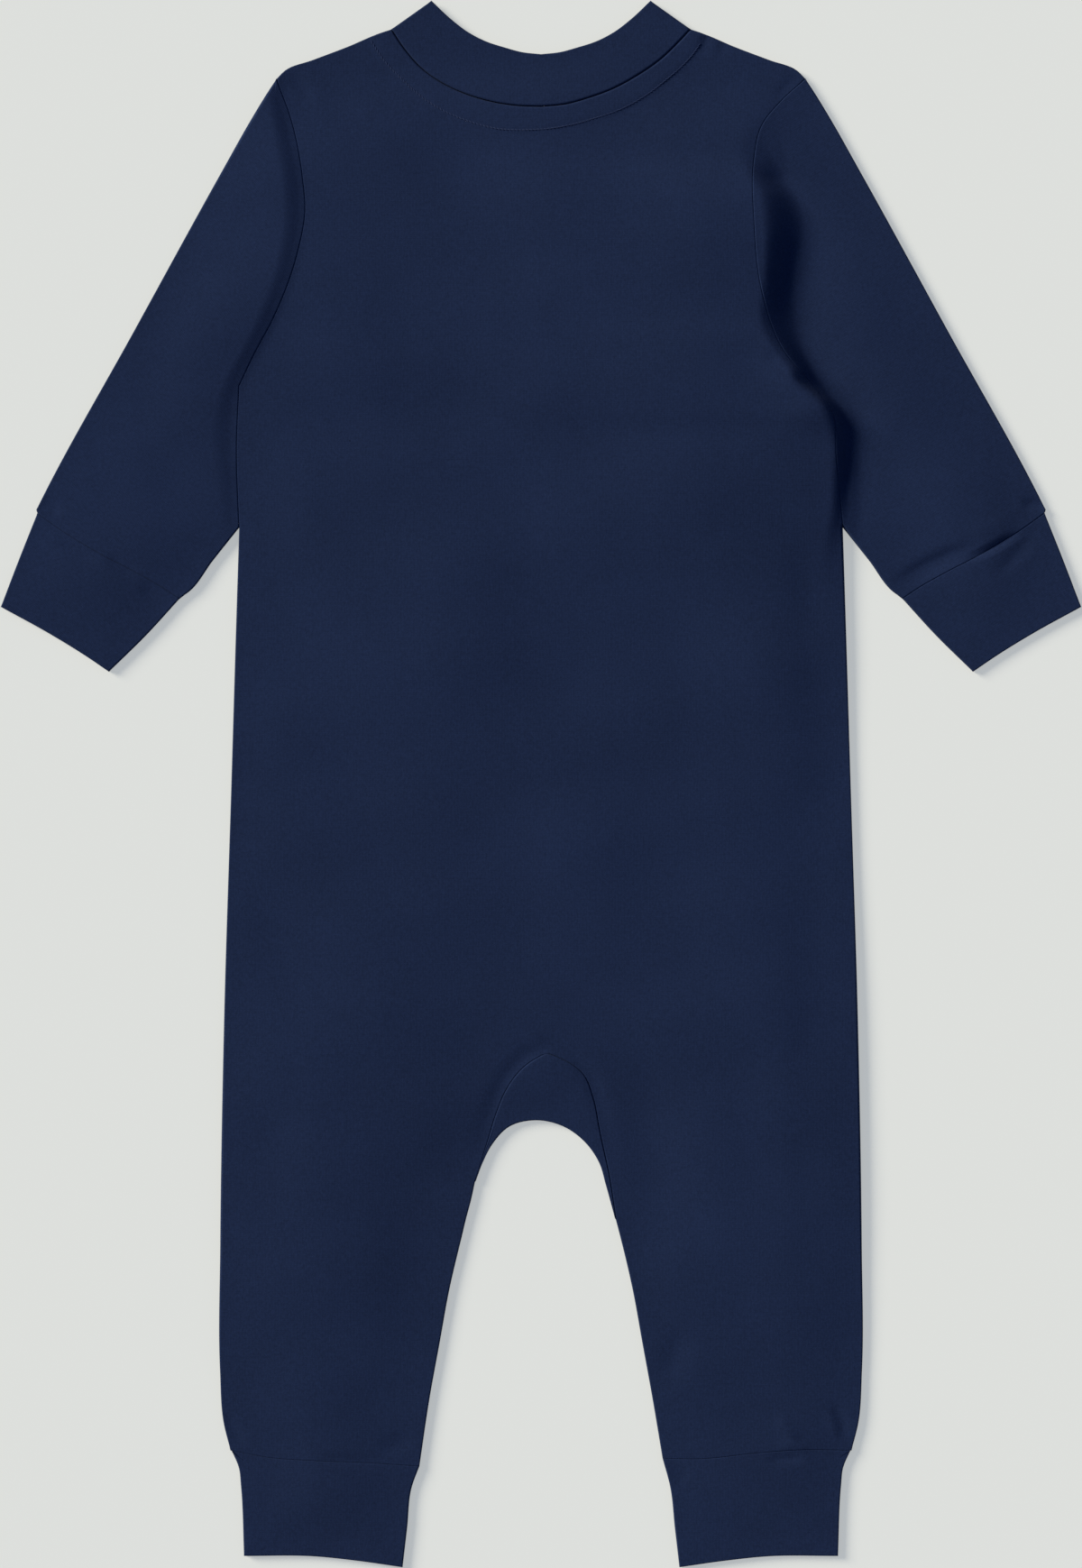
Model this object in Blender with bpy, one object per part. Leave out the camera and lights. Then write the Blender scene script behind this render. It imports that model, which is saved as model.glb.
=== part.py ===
"""Footless baby romper with a stand collar and a front zip, laid flat on its front.

The back faces up (+Z), the collar points to +Y and the wearer's right side is at +X.
The origin is on the surface that the garment lies on, under the middle of its box.
Tables and sizes are in millimetres; the meshes are made in metres.

Every cloth piece is a wall. The lower layer (fronts, undersides of the sleeves and
cuffs) lies on the surface. The upper layer (back, tops of the sleeves and cuffs) starts
one seam gap above it at the outline and stands off it by a soft rise further in.
"""
from collections import namedtuple
from math import asin

import bmesh
import bpy
import numpy as np

MM = 0.001

# Cloth and seams
CLOTH = 1.2
DOUBLE_CLOTH = 1.6
SEAM_GAP = 0.3
RISE = 3.6
RISE_REACH = 7.0

# Zip
TAPE_THICK = 1.1
TAPE_HALF_GAP = 0.15
TAPE_REACH = 10.5
FRONT_EDGE = 4.5
ZIP_END = -96.0
ZIP_CLOSE = -91.0
SLIDER_LIFT = 2.8
LIFT_START = 236.0
LIFT_FULL = 262.0
LIFT_FADE = 13.0

# Slider and pull tab
SLIDER_TOP = 281.8
PLATE = 0.5
BRIDGE = 0.6
BRIDGE_CHAMFER = 0.8
BRIDGE_EDGE = 0.2
BRIDGE_HALF_WIDTH = 0.8
BRIDGE_WINDOW = 1.4
BRIDGE_LENGTH = 7.2
PULL_AXIS_Y = 277.6
PULL_AXIS_Z = BRIDGE + BRIDGE_WINDOW / 2
PULL_THICK = 0.8
PULL_EYE_HALF_WIDTH = 1.2
PULL_EYE_LENGTH = 4.6
PULL_TIP_CLEARANCE = 0.03
POST_HALF_WIDTH = 0.9
POST_LENGTH = 2.4
POST_INSET = 0.6
POST_ROOM = 1.5
TAPE_TOP_GAP = 1.3

# Mesh rows and columns
ARMHOLE_ROWS = 10
UNDERARM_ROWS = 3
SIDE_ROWS = 22
ARC_ROWS = 6
INSEAM_ROWS = 6
CENTRE_ROWS = ARMHOLE_ROWS + UNDERARM_ROWS + SIDE_ROWS - ARC_ROWS - INSEAM_ROWS
NECK_COLUMNS = 5
SHOULDER_COLUMNS = 4
SLEEVE_COLUMNS = 5
WRIST_ROWS = 3
CUFF_ROWS = 3
FRONT_SHOULDER_COLUMNS = 2
FRONT_NECK_STEPS = (0.0, 0.085, 0.21, 0.42, 0.70, 1.0)
OUTLINE_SPANS = 10
FOLD_SPANS = 12
TAPE_SPANS = 11
TAPE_LEVELS = (282.4, 278.2, 276.8, 272.0, 266.0, 260.0, 254.0, 248.0, 242.0, 236.0)

Point = namedtuple("Point", "out up")
Sides = namedtuple("Sides", "out left right")
Fold = namedtuple("Fold", "side depth reach route")
Metal = namedtuple("Metal", "half_width along")
Arch = namedtuple("Arch", "along level")

# Edges of one half: distance out from the middle line, height up from the middle.
SHOULDER = (Point(62.4, 314.0), Point(67.5, 312.3), Point(80.0, 307.0), Point(95.0, 301.3),
            Point(106.7, 296.8), Point(110.1, 293.4))
SLEEVE_TOP = (Point(110.1, 293.4), Point(113.8, 287.8), Point(120.2, 277.3), Point(132.9, 254.8),
              Point(170.0, 187.4), Point(207.2, 119.8), Point(210.0, 114.2))
SLEEVE_UNDER = (Point(125.6, 106.7), Point(136.5, 93.0), Point(147.0, 79.6), Point(148.9, 78.3))
SIDE_SEAM = (Point(125.6, 106.7), Point(126.6, 75.6), Point(129.0, -3.9), Point(131.8, -93.9),
             Point(133.5, -191.4), Point(133.6, -243.9), Point(132.0, -266.4), Point(129.2, -277.3))
LEFT_INSEAM_START = Point(29.0, -172.7)
INSEAM = (Point(31.2, -181.0), Point(32.8, -187.7), Point(38.1, -210.2), Point(42.2, -232.7),
          Point(46.3, -255.2), Point(50.6, -280.7))
WRIST_SEAM = (Point(150.4, 77.1), Point(158.4, 82.3), Point(167.1, 87.2), Point(184.3, 96.2),
              Point(200.1, 105.9), Point(209.6, 112.7))
WRIST_OUTER = (Point(209.6, 112.7), Point(217.2, 93.6), Point(224.8, 73.7))
WRIST_INNER = (Point(150.4, 77.1), Point(164.1, 62.1), Point(179.8, 46.7))
WRIST_HEM = (Point(179.8, 46.7), Point(189.2, 53.1), Point(203.8, 62.1), Point(224.8, 73.7))
ANKLE_OUTER = (Point(128.0, -279.2), Point(125.7, -284.8), Point(124.9, -292.0), Point(123.6, -321.2))
ANKLE_INNER = (Point(51.4, -282.2), Point(53.8, -292.7), Point(55.7, -309.6), Point(57.6, -325.9))
ANKLE_HEM = (Point(57.6, -325.9), Point(75.0, -323.4), Point(93.9, -321.4), Point(123.6, -321.2))
FRONT_NECK = (Point(4.5, 260.4), Point(20.0, 263.4), Point(35.0, 271.5), Point(47.0, 284.0),
              Point(57.0, 300.5), Point(62.4, 314.0))
FRONT_COLLAR_TOP = (Point(4.5, 282.9), Point(14.0, 285.0), Point(24.0, 291.0), Point(33.0, 300.0),
                    Point(40.0, 311.0), Point(45.6, 325.9))
COLLAR_TOP = (Point(0.0, 303.6), Point(8.0, 304.5), Point(15.0, 306.4), Point(23.0, 309.0),
              Point(30.0, 312.6), Point(38.0, 318.7), Point(45.6, 325.9))

# Height of the back neck seam at a distance out from the middle, on the left and on the right.
BACK_NECK = (Sides(0.0, 281.4, 281.4), Sides(10.0, 281.8, 282.4), Sides(20.0, 283.4, 285.2),
             Sides(30.0, 286.3, 289.0), Sides(40.0, 290.8, 294.5), Sides(50.0, 297.9, 301.5),
             Sides(57.0, 305.9, 308.2), Sides(62.4, 314.0, 314.0))

# Armhole seam from the shoulder tip to the underarm, and the crease from there to the notch.
LEFT_ARMHOLE = (Point(110.1, 293.4), Point(103.7, 275.8), Point(99.2, 252.9), Point(98.1, 237.9),
                Point(101.1, 221.1), Point(111.6, 192.9), Point(118.7, 179.8), Point(125.6, 165.6))
RIGHT_ARMHOLE = (Point(110.1, 293.4), Point(99.9, 284.1), Point(91.7, 273.6), Point(88.3, 258.0),
                 Point(88.3, 233.8), Point(91.7, 203.9), Point(100.0, 181.0), Point(114.6, 163.8))
LEFT_UNDERARM = (Point(125.6, 165.6), Point(126.6, 140.0), Point(125.6, 106.7))
RIGHT_UNDERARM = (Point(114.6, 163.8), Point(120.6, 154.5), Point(122.6, 135.0), Point(125.6, 106.7))

# Gusset: its seam from the middle to the tip, and the crotch edge from the middle to the tip.
ARC_TOP = Point(1.7, -112.3)
CROTCH_TOP = Point(-1.3, -140.0)
LEFT_ARC = (Point(2.4, -114.2), Point(7.5, -117.9), Point(14.4, -126.9), Point(18.6, -136.7),
            Point(22.3, -148.7), Point(27.6, -165.5))
RIGHT_ARC = (Point(8.1, -114.2), Point(17.4, -120.6), Point(21.6, -130.7), Point(24.2, -143.8),
             Point(28.7, -164.1), Point(31.2, -181.0))
LEFT_CROTCH = (Point(13.3, -142.7), Point(20.4, -150.2), Point(24.2, -157.7), Point(26.8, -165.2))
RIGHT_CROTCH = (Point(9.6, -142.7), Point(19.3, -150.2), Point(24.2, -157.7), Point(27.0, -167.0),
                Point(30.4, -180.6))

# Ankle seam from the inseam to the side seam.
LEFT_ANKLE = (Point(50.6, -283.9), Point(72.6, -282.4), Point(95.4, -281.4), Point(112.7, -280.3),
              Point(129.2, -277.3))
RIGHT_ANKLE = (Point(50.6, -280.7), Point(67.3, -280.7), Point(88.7, -278.4), Point(108.6, -277.0),
               Point(129.2, -277.3))

# Largest folds pressed into the upper layer: side, depth, half width and route.
FOLDS = (
    Fold(1, 3.0, 6.5, (Point(96.0, 270.0), Point(103.5, 240.0), Point(101.5, 205.0),
                       Point(110.0, 176.0), Point(120.0, 160.0))),
    Fold(1, 1.4, 4.0, (Point(90.0, 180.0), Point(101.0, 173.0), Point(114.6, 163.8))),
    Fold(1, 1.6, 4.5, (Point(160.0, 87.0), Point(175.0, 97.0), Point(196.0, 107.5))),
    Fold(-1, 1.5, 6.0, (Point(105.0, 280.0), Point(102.0, 240.0), Point(112.0, 200.0),
                        Point(126.0, 168.0))),
    Fold(-1, 1.0, 5.0, (Point(128.5, 168.0), Point(130.5, 140.0), Point(126.5, 110.0))),
)

# Slider plate from its top end down, and pull tab from its axis to its tip.
PLATE_OUTLINE = (Metal(2.0, 0.0), Metal(3.7, -1.6), Metal(3.7, -4.6), Metal(3.0, -8.6), Metal(2.0, -9.6))
PULL_OUTLINE = (Metal(2.1, 0.4), Metal(2.4, 0.1), Metal(2.4, -5.8), Metal(1.9, -9.0), Metal(2.3, -20.6),
                Metal(1.8, -22.2), Metal(0.9, -23.0))

CLOTH_COLOUR = (0.0125, 0.0203, 0.0497, 1.0)
TAPE_COLOUR = (0.0110, 0.0175, 0.0420, 1.0)
METAL_COLOUR = (0.0137, 0.0203, 0.0437, 1.0)
SAMPLES_PER_SPAN = 24
SETTLE_ROUNDS = 60
SHARP_ANGLE = 0.6
ZIP_CLOSING = 3.0
ZIP_CLOSE_SPANS = 3


def smooth(rows):
    """A dense line on a cubic curve through the rows, with slopes from the neighbours."""
    knots = np.array(rows, dtype=float)
    steps = np.linalg.norm(np.diff(knots, axis=0), axis=1)
    along = np.concatenate([[0.0], np.cumsum(steps)])
    slopes = np.gradient(knots, along, axis=0)
    fine = np.linspace(0.0, along[-1], SAMPLES_PER_SPAN * len(steps) + 1)
    span = np.clip(np.searchsorted(along, fine, side="right") - 1, 0, len(steps) - 1)
    t = ((fine - along[span]) / steps[span])[:, None]
    reach = steps[span][:, None]
    start, end = knots[span], knots[span + 1]
    hermite = (2 * t**3 - 3 * t**2 + 1) * start + (3 * t**2 - 2 * t**3) * end
    return hermite + reach * ((t**3 - 2 * t**2 + t) * slopes[span] + (t**3 - t**2) * slopes[span + 1])


def at(line, fractions):
    """Points at the given fractions of a line's length."""
    steps = np.linalg.norm(np.diff(line, axis=0), axis=1)
    along = np.concatenate([[0.0], np.cumsum(steps)]) / steps.sum()
    return np.stack([np.interp(fractions, along, line[:, axis]) for axis in range(line.shape[1])], axis=1)


def evenly(rows, count):
    """Count spans of equal length on the smooth curve through the rows."""
    return at(smooth(rows), np.linspace(0.0, 1.0, count + 1))


def joined(*lines):
    """Lines end to end, each without its first point after the first line."""
    return np.concatenate([lines[0]] + [line[1:] for line in lines[1:]])


def fractions_of(line):
    """How far along its own length each point of a line lies, from 0 to 1."""
    steps = np.linalg.norm(np.diff(line, axis=0), axis=1)
    return np.concatenate([[0.0], np.cumsum(steps)]) / steps.sum()


def patch(inner, outer, top, bottom):
    """Coons patch between four edges, its rows from the inner to the outer edge, then settled.

    Settling moves each inner point to the mean of its neighbours, weighted by their spacing.
    """
    u = (0.5 * (fractions_of(top) + fractions_of(bottom)))[None, :, None]
    v = (0.5 * (fractions_of(inner) + fractions_of(outer)))[:, None, None]
    across = (1 - u) * inner[:, None] + u * outer[:, None]
    down = (1 - v) * top[None] + v * bottom[None]
    corners = ((1 - u) * (1 - v) * inner[0] + u * (1 - v) * outer[0]
               + (1 - u) * v * inner[-1] + u * v * outer[-1])
    plan = across + down - corners
    left = (u[:, 2:] - u[:, 1:-1]) / (u[:, 2:] - u[:, :-2])
    above = (v[2:] - v[1:-1]) / (v[2:] - v[:-2])
    for _ in range(SETTLE_ROUNDS):
        along_row = left * plan[1:-1, :-2] + (1 - left) * plan[1:-1, 2:]
        along_column = above * plan[:-2, 1:-1] + (1 - above) * plan[2:, 1:-1]
        plan[1:-1, 1:-1] = 0.5 * (along_row + along_column)
    return plan


def beside(line, distance):
    """The line moved sideways by a distance, to the right of its direction."""
    ahead = np.gradient(line, axis=0)
    ahead /= np.linalg.norm(ahead, axis=1)[:, None]
    return line + distance * np.stack([ahead[:, 1], -ahead[:, 0]], axis=1)


def mirrored(plan, side):
    """The plan on the wearer's right for side 1, and on the left for side -1."""
    return plan * np.array([side, 1.0])


def distance_to(points, line):
    """Distance from each point to a line of segments, and the fraction along it."""
    start, span = line[:-1], np.diff(line, axis=0)
    offset = points[..., None, :] - start
    t = np.clip((offset * span).sum(-1) / (span**2).sum(-1), 0.0, 1.0)
    gap = np.linalg.norm(offset - t[..., None] * span, axis=-1)
    nearest = gap.argmin(-1)
    fraction = (nearest + np.take_along_axis(t, nearest[..., None], -1)[..., 0]) / len(span)
    return gap.min(-1), fraction


def armhole(side):
    return RIGHT_ARMHOLE if side > 0 else LEFT_ARMHOLE


def underarm(side):
    return RIGHT_UNDERARM if side > 0 else LEFT_UNDERARM


def arc(side):
    """The gusset seam from its top to its tip; the top lies to the right of the middle."""
    rows = RIGHT_ARC if side > 0 else LEFT_ARC
    return (Point(side * ARC_TOP.out, ARC_TOP.up),) + rows


def crotch(side):
    rows = RIGHT_CROTCH if side > 0 else LEFT_CROTCH
    return (Point(side * CROTCH_TOP.out, CROTCH_TOP.up),) + rows


def inseam(side):
    """The inner leg from the gusset's tip to the ankle seam."""
    tip = arc(side)[-1]
    ankle_end = ankle(side)[0]
    below = tuple(row for row in INSEAM if ankle_end.up + 10.0 < row.up < tip.up - 5.0)
    start = (tip, LEFT_INSEAM_START) if side < 0 else (tip,)
    return start + below + (ankle_end,)


def ankle(side):
    return RIGHT_ANKLE if side > 0 else LEFT_ANKLE


def outline(side):
    """Every edge where the two layers meet: outline of one half, with the slit at the underarm."""
    rows = (COLLAR_TOP, (COLLAR_TOP[-1], SHOULDER[0]), SHOULDER, SLEEVE_TOP, WRIST_OUTER, WRIST_HEM,
            WRIST_INNER, SLEEVE_UNDER, underarm(side), SIDE_SEAM, ANKLE_OUTER, ANKLE_HEM,
            ANKLE_INNER, inseam(side), crotch(side))
    return [mirrored(evenly(line, OUTLINE_SPANS), side) for line in rows]


EDGES = [line for side in (-1, 1) for line in outline(side)]


def rise(plan):
    """How far the upper layer stands off: full inside, none at an edge, less along a fold."""
    nearest = np.min([distance_to(plan, line)[0] for line in EDGES], axis=0)
    height = RISE * (1.0 - np.exp(-nearest / RISE_REACH))
    for fold in FOLDS:
        gap, fraction = distance_to(plan, mirrored(evenly(fold.route, FOLD_SPANS), fold.side))
        height = height - fold.depth * np.sqrt(np.sin(np.pi * fraction)) * np.exp(-(gap / fold.reach)**2)
    return np.maximum(height, 0.0)


def smooth_step(value):
    t = np.clip(value, 0.0, 1.0)
    return t * t * (3.0 - 2.0 * t)


def zip_level(up):
    """Height of the tapes' underside, which the slider lifts near the collar."""
    low = CLOTH + SEAM_GAP
    return low + (SLIDER_LIFT - low) * smooth_step((up - LIFT_START) / (LIFT_FULL - LIFT_START))


def front_lift(plan, thickness):
    """How far the cloth beside the zip is lifted off the surface to pass under the tapes."""
    room = np.maximum(zip_level(plan[..., 1]) - 1.5 * SEAM_GAP - thickness, 0.0)
    return room * (1.0 - smooth_step((np.abs(plan[..., 0]) - TAPE_REACH) / LIFT_FADE))


def material(name, colour, roughness, metallic):
    made = bpy.data.materials.new(name)
    made.use_nodes = True
    shader = made.node_tree.nodes["Principled BSDF"]
    shader.inputs["Base Color"].default_value = colour
    shader.inputs["Roughness"].default_value = roughness
    shader.inputs["Metallic"].default_value = metallic
    return made


def finish(name, made, surface):
    """Turn a bmesh in millimetres into a named object with outward faces."""
    bmesh.ops.recalc_face_normals(made, faces=made.faces)
    bmesh.ops.scale(made, vec=(MM, MM, MM), verts=made.verts)
    mesh = bpy.data.meshes.new(name)
    made.to_mesh(mesh)
    made.free()
    mesh.shade_smooth()
    mesh.set_sharp_from_angle(angle=SHARP_ANGLE)
    mesh.materials.append(surface)
    thing = bpy.data.objects.new(name, mesh)
    bpy.context.collection.objects.link(thing)
    return thing


def wall(name, plans, seams, lower, upper, surface):
    """Close a flat net of patches into a wall between a lower and an upper height.

    seams gives, for each patch after the first, the count of its first-column points
    that it shares with the first patch.
    """
    made = bmesh.new()
    nets = []
    for plan, shared in zip(plans, seams):
        low, high = lower(plan), upper(plan)
        net = np.empty(plan.shape[:2], dtype=object)
        for row, column in np.ndindex(*plan.shape[:2]):
            if column == 0 and row < shared:
                net[row, column] = nets[0][row, column]
            else:
                x, y = plan[row, column]
                net[row, column] = (made.verts.new((x, y, low[row, column])),
                                    made.verts.new((x, y, high[row, column])))
        nets.append(net)
    sides = {}
    for net in nets:
        for row, column in np.ndindex(net.shape[0] - 1, net.shape[1] - 1):
            corners = [net[row, column], net[row, column + 1],
                       net[row + 1, column + 1], net[row + 1, column]]
            for level in (0, 1):
                made.faces.new([corner[level] for corner in corners])
            for start, end in zip(corners, corners[1:] + corners[:1]):
                key = frozenset((start[0], end[0]))
                sides[key] = None if key in sides else (start, end)
    for edge in sides.values():
        if edge:
            start, end = edge
            made.faces.new([start[0], end[0], end[1], start[1]])
    return finish(name, made, surface)


def strip(name, outer, inner, surface):
    """Close two skins of a strip, each stations by two edges, into a wall."""
    made = bmesh.new()
    skins = [[[made.verts.new(point) for point in station] for station in skin] for skin in (outer, inner)]
    for here in range(len(outer) - 1):
        beyond = here + 1
        for skin in skins:
            made.faces.new([skin[here][0], skin[here][1], skin[beyond][1], skin[beyond][0]])
        for edge in (0, 1):
            made.faces.new([skins[0][here][edge], skins[0][beyond][edge],
                            skins[1][beyond][edge], skins[1][here][edge]])
    for end in (0, -1):
        made.faces.new([skins[0][end][0], skins[0][end][1], skins[1][end][1], skins[1][end][0]])
    return finish(name, made, surface)


def with_height(plan, height):
    return np.concatenate([plan, np.broadcast_to(height, plan.shape[:2])[..., None]], axis=-1)


def pulled_in(plan, distance, places):
    """The plan with the points at the given places moved inwards along their rows."""
    moved = plan.copy()
    for row, column in places:
        ahead = plan[row, 1 if column == 0 else column - 1] - plan[row, column]
        length = np.linalg.norm(ahead)
        moved[row, column] += ahead / length * min(distance, 0.6 * length)
    return moved


def folded(name, plan, cloth, surface, open_edges, open_rows=0):
    """A wall folded flat: a lower and an upper layer, joined along every edge that isn't open.

    open_edges names edges among start, end and inner; open_rows first spans of the inner
    edge are open too. Each layer has an outer and an inner skin.
    """
    rows, columns = plan.shape[0] - 1, plan.shape[1] - 1
    loop = ([((0, k), (0, k + 1), "start" in open_edges) for k in range(columns)]
            + [((k, columns), (k + 1, columns), False) for k in range(rows)]
            + [((rows, k), (rows, k - 1), "end" in open_edges) for k in range(columns, 0, -1)]
            + [((k, 0), (k - 1, 0), "inner" in open_edges or k <= open_rows) for k in range(rows, 0, -1)])
    creased = {place for start, end, is_open in loop if not is_open
               for place in (start, end) if place[1] in (0, columns)}
    inside = pulled_in(plan, cloth, creased)
    height, top = rise(plan), 2.0 * cloth + SEAM_GAP
    made = bmesh.new()
    skins = [np.empty(plan.shape[:2], dtype=object) for _ in range(4)]
    layers = ((plan, np.zeros_like(height)), (inside, np.full_like(height, cloth)),
              (inside, top - cloth + height), (plan, top + height))
    for skin, (flat, level) in zip(skins, layers):
        for place in np.ndindex(*plan.shape[:2]):
            skin[place] = made.verts.new((*flat[place], level[place]))
        for row, column in np.ndindex(rows, columns):
            made.faces.new([skin[row, column], skin[row, column + 1],
                            skin[row + 1, column + 1], skin[row + 1, column]])
    below, lining_below, lining_above, above = skins
    for (start, end, is_open), (_, _, next_is_open) in zip(loop, loop[1:] + loop[:1]):
        pairs = ((below, lining_below), (above, lining_above))
        if not is_open:
            pairs = ((below, above), (lining_below, lining_above))
        for one, other in pairs:
            made.faces.new([one[start], one[end], other[end], other[start]])
        if is_open != next_is_open:
            made.faces.new([skin[end] for skin in skins])
    return finish(name, made, surface)


def outer_edge(side):
    """Back and front edge from the shoulder tip along armhole, underarm and side seam."""
    return joined(evenly(armhole(side), ARMHOLE_ROWS), evenly(underarm(side), UNDERARM_ROWS),
                  evenly(SIDE_SEAM, SIDE_ROWS))


def back_neck(side):
    rows = [Point(row.out, row.right if side > 0 else row.left) for row in BACK_NECK]
    return evenly(rows, NECK_COLUMNS)


def back_half(side):
    """One half of the back, from the middle line to the outer edge."""
    centre = evenly((Point(0.0, BACK_NECK[0].left), Point(side * ARC_TOP.out, ARC_TOP.up)), CENTRE_ROWS)
    inner = joined(centre, evenly(arc(side), ARC_ROWS), evenly(inseam(side), INSEAM_ROWS))
    top = joined(back_neck(side), evenly(SHOULDER, SHOULDER_COLUMNS))
    bottom = evenly(ankle(side), NECK_COLUMNS + SHOULDER_COLUMNS)
    return mirrored(patch(inner, outer_edge(side), top, bottom), side)


def make_back(surface):
    seat = CLOTH + SEAM_GAP
    halves = [back_half(1), back_half(-1)]
    return wall("back", halves, (0, CENTRE_ROWS + 1),
                lambda plan: seat + rise(plan), lambda plan: seat + CLOTH + rise(plan), surface)


def front_half(side):
    """One front, from the zip edge to the outer edge; below the zip it reaches the middle."""
    closed = Point(side * ARC_TOP.out + TAPE_HALF_GAP, ARC_TOP.up)
    lower = (Point(FRONT_EDGE, ZIP_CLOSE), Point(0.5 * FRONT_EDGE, ZIP_END - ZIP_CLOSING), closed)
    edge = joined(evenly((FRONT_NECK[0], lower[0]), CENTRE_ROWS - ZIP_CLOSE_SPANS),
                  evenly(lower, ZIP_CLOSE_SPANS))
    seam = (closed,) + arc(side)[1:]
    inner = joined(edge, evenly(seam, ARC_ROWS), evenly(inseam(side), INSEAM_ROWS))
    top = joined(at(smooth(FRONT_NECK), FRONT_NECK_STEPS), evenly(SHOULDER, FRONT_SHOULDER_COLUMNS))
    bottom = evenly(ankle(side), len(top) - 1)
    return mirrored(patch(inner, outer_edge(side), top, bottom), side)


def make_front(name, side, surface):
    return wall(name, [front_half(side)], (0,),
                lambda plan: front_lift(plan, CLOTH),
                lambda plan: front_lift(plan, CLOTH) + CLOTH, surface)


def make_gusset(surface):
    """A strip from the back arc over the crotch edge to the front arc, tapering to both tips."""
    def line(rows):
        left = mirrored(evenly(rows(-1), ARC_ROWS), -1)[::-1]
        return joined(left, evenly(rows(1), ARC_ROWS))
    seam = beside(line(arc), SEAM_GAP)
    edge = line(crotch)
    plan = np.stack([seam, 0.5 * (seam + edge), edge], axis=1)
    return folded("gusset", plan, CLOTH, surface, ("start", "end", "inner"))


def make_sleeve(name, side, surface):
    """A flat tube from the armhole to the wrist; its mouth runs from the shoulder to the underarm."""
    body = joined(evenly(armhole(side), ARMHOLE_ROWS), evenly(underarm(side), UNDERARM_ROWS))
    seam = beside(body, -SEAM_GAP)
    start = seam[:SLEEVE_COLUMNS + 1][::-1]
    inner = joined(seam[SLEEVE_COLUMNS:], evenly(SLEEVE_UNDER, WRIST_ROWS))
    outer = evenly(SLEEVE_TOP, len(inner) - 1)
    start[-1] = outer[0] = outer[0] + np.array([SEAM_GAP, -SEAM_GAP])
    wrist = at(smooth((SLEEVE_UNDER[-1],) + WRIST_SEAM[1:-1] + (SLEEVE_TOP[-1],)),
               np.linspace(0.0, 1.0, SLEEVE_COLUMNS + 1))
    plan = mirrored(patch(inner, outer, start, wrist), side)
    return folded(name, plan, CLOTH, surface, ("start", "end"), ARMHOLE_ROWS - SLEEVE_COLUMNS)


def make_wrist_cuff(name, side, surface):
    top = beside(evenly(WRIST_SEAM, SLEEVE_COLUMNS), 1.5 * SEAM_GAP)
    inner = at(smooth((Point(*top[0]),) + WRIST_INNER[1:]), np.linspace(0.0, 1.0, CUFF_ROWS + 1))
    outer = at(smooth((Point(*top[-1]),) + WRIST_OUTER[1:]), np.linspace(0.0, 1.0, CUFF_ROWS + 1))
    hem = evenly(WRIST_HEM, SLEEVE_COLUMNS)
    plan = mirrored(patch(inner, outer, top, hem), side)
    return folded(name, plan, DOUBLE_CLOTH, surface, ("start", "end"))


def make_ankle_cuff(name, side, surface):
    columns = NECK_COLUMNS + SHOULDER_COLUMNS
    top = beside(evenly(ankle(side), columns), SEAM_GAP)
    top[0, 0] = ANKLE_INNER[0].out
    top[-1] = ANKLE_OUTER[0]
    inner = at(smooth((Point(*top[0]),) + ANKLE_INNER[1:]), np.linspace(0.0, 1.0, CUFF_ROWS + 1))
    outer = evenly(ANKLE_OUTER, CUFF_ROWS)
    hem = evenly(ANKLE_HEM, columns)
    plan = mirrored(patch(inner, outer, top, hem), side)
    return folded(name, plan, DOUBLE_CLOTH, surface, ("start", "end"))


def collar_half(side):
    """Seam and top edge of the front part, then of the back part, from the zip to the middle."""
    front = np.stack([beside(at(smooth(FRONT_NECK), FRONT_NECK_STEPS), -SEAM_GAP),
                      at(smooth(FRONT_COLLAR_TOP), FRONT_NECK_STEPS)], axis=1)
    back = np.stack([beside(back_neck(side), -SEAM_GAP), evenly(COLLAR_TOP, NECK_COLUMNS)], axis=1)
    fold = np.array([SHOULDER[0], COLLAR_TOP[-1]]) + np.array([[-SEAM_GAP, SEAM_GAP], [0.0, 0.0]])
    front[-1] = back[-1] = fold
    front[:, :, 0] = np.maximum(front[:, :, 0], FRONT_EDGE)
    back[0, :, 0] = 0.0
    return mirrored(front, side), mirrored(back[::-1], side)


def make_collar(surface):
    """A strip of double cloth from one zip edge round the back to the other."""
    top = 2.0 * DOUBLE_CLOTH + SEAM_GAP

    def skins(side):
        front, back = collar_half(side)
        lift = front_lift(front, DOUBLE_CLOTH)
        height = rise(back)
        inset = np.array([[-side * DOUBLE_CLOTH, -DOUBLE_CLOTH]])
        front_in, back_in = front.copy(), back.copy()
        front_in[-1] += inset
        back_in[0] += inset
        outer = np.concatenate([with_height(front, lift), with_height(back, top + height)])
        inner = np.concatenate([with_height(front_in, lift + DOUBLE_CLOTH),
                                with_height(back_in, top - DOUBLE_CLOTH + height)])
        return outer, inner
    right, left = skins(1), skins(-1)
    outer, inner = [np.concatenate([a, b[::-1][1:]]) for a, b in zip(right, left)]
    return strip("collar", outer, inner, surface)


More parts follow.
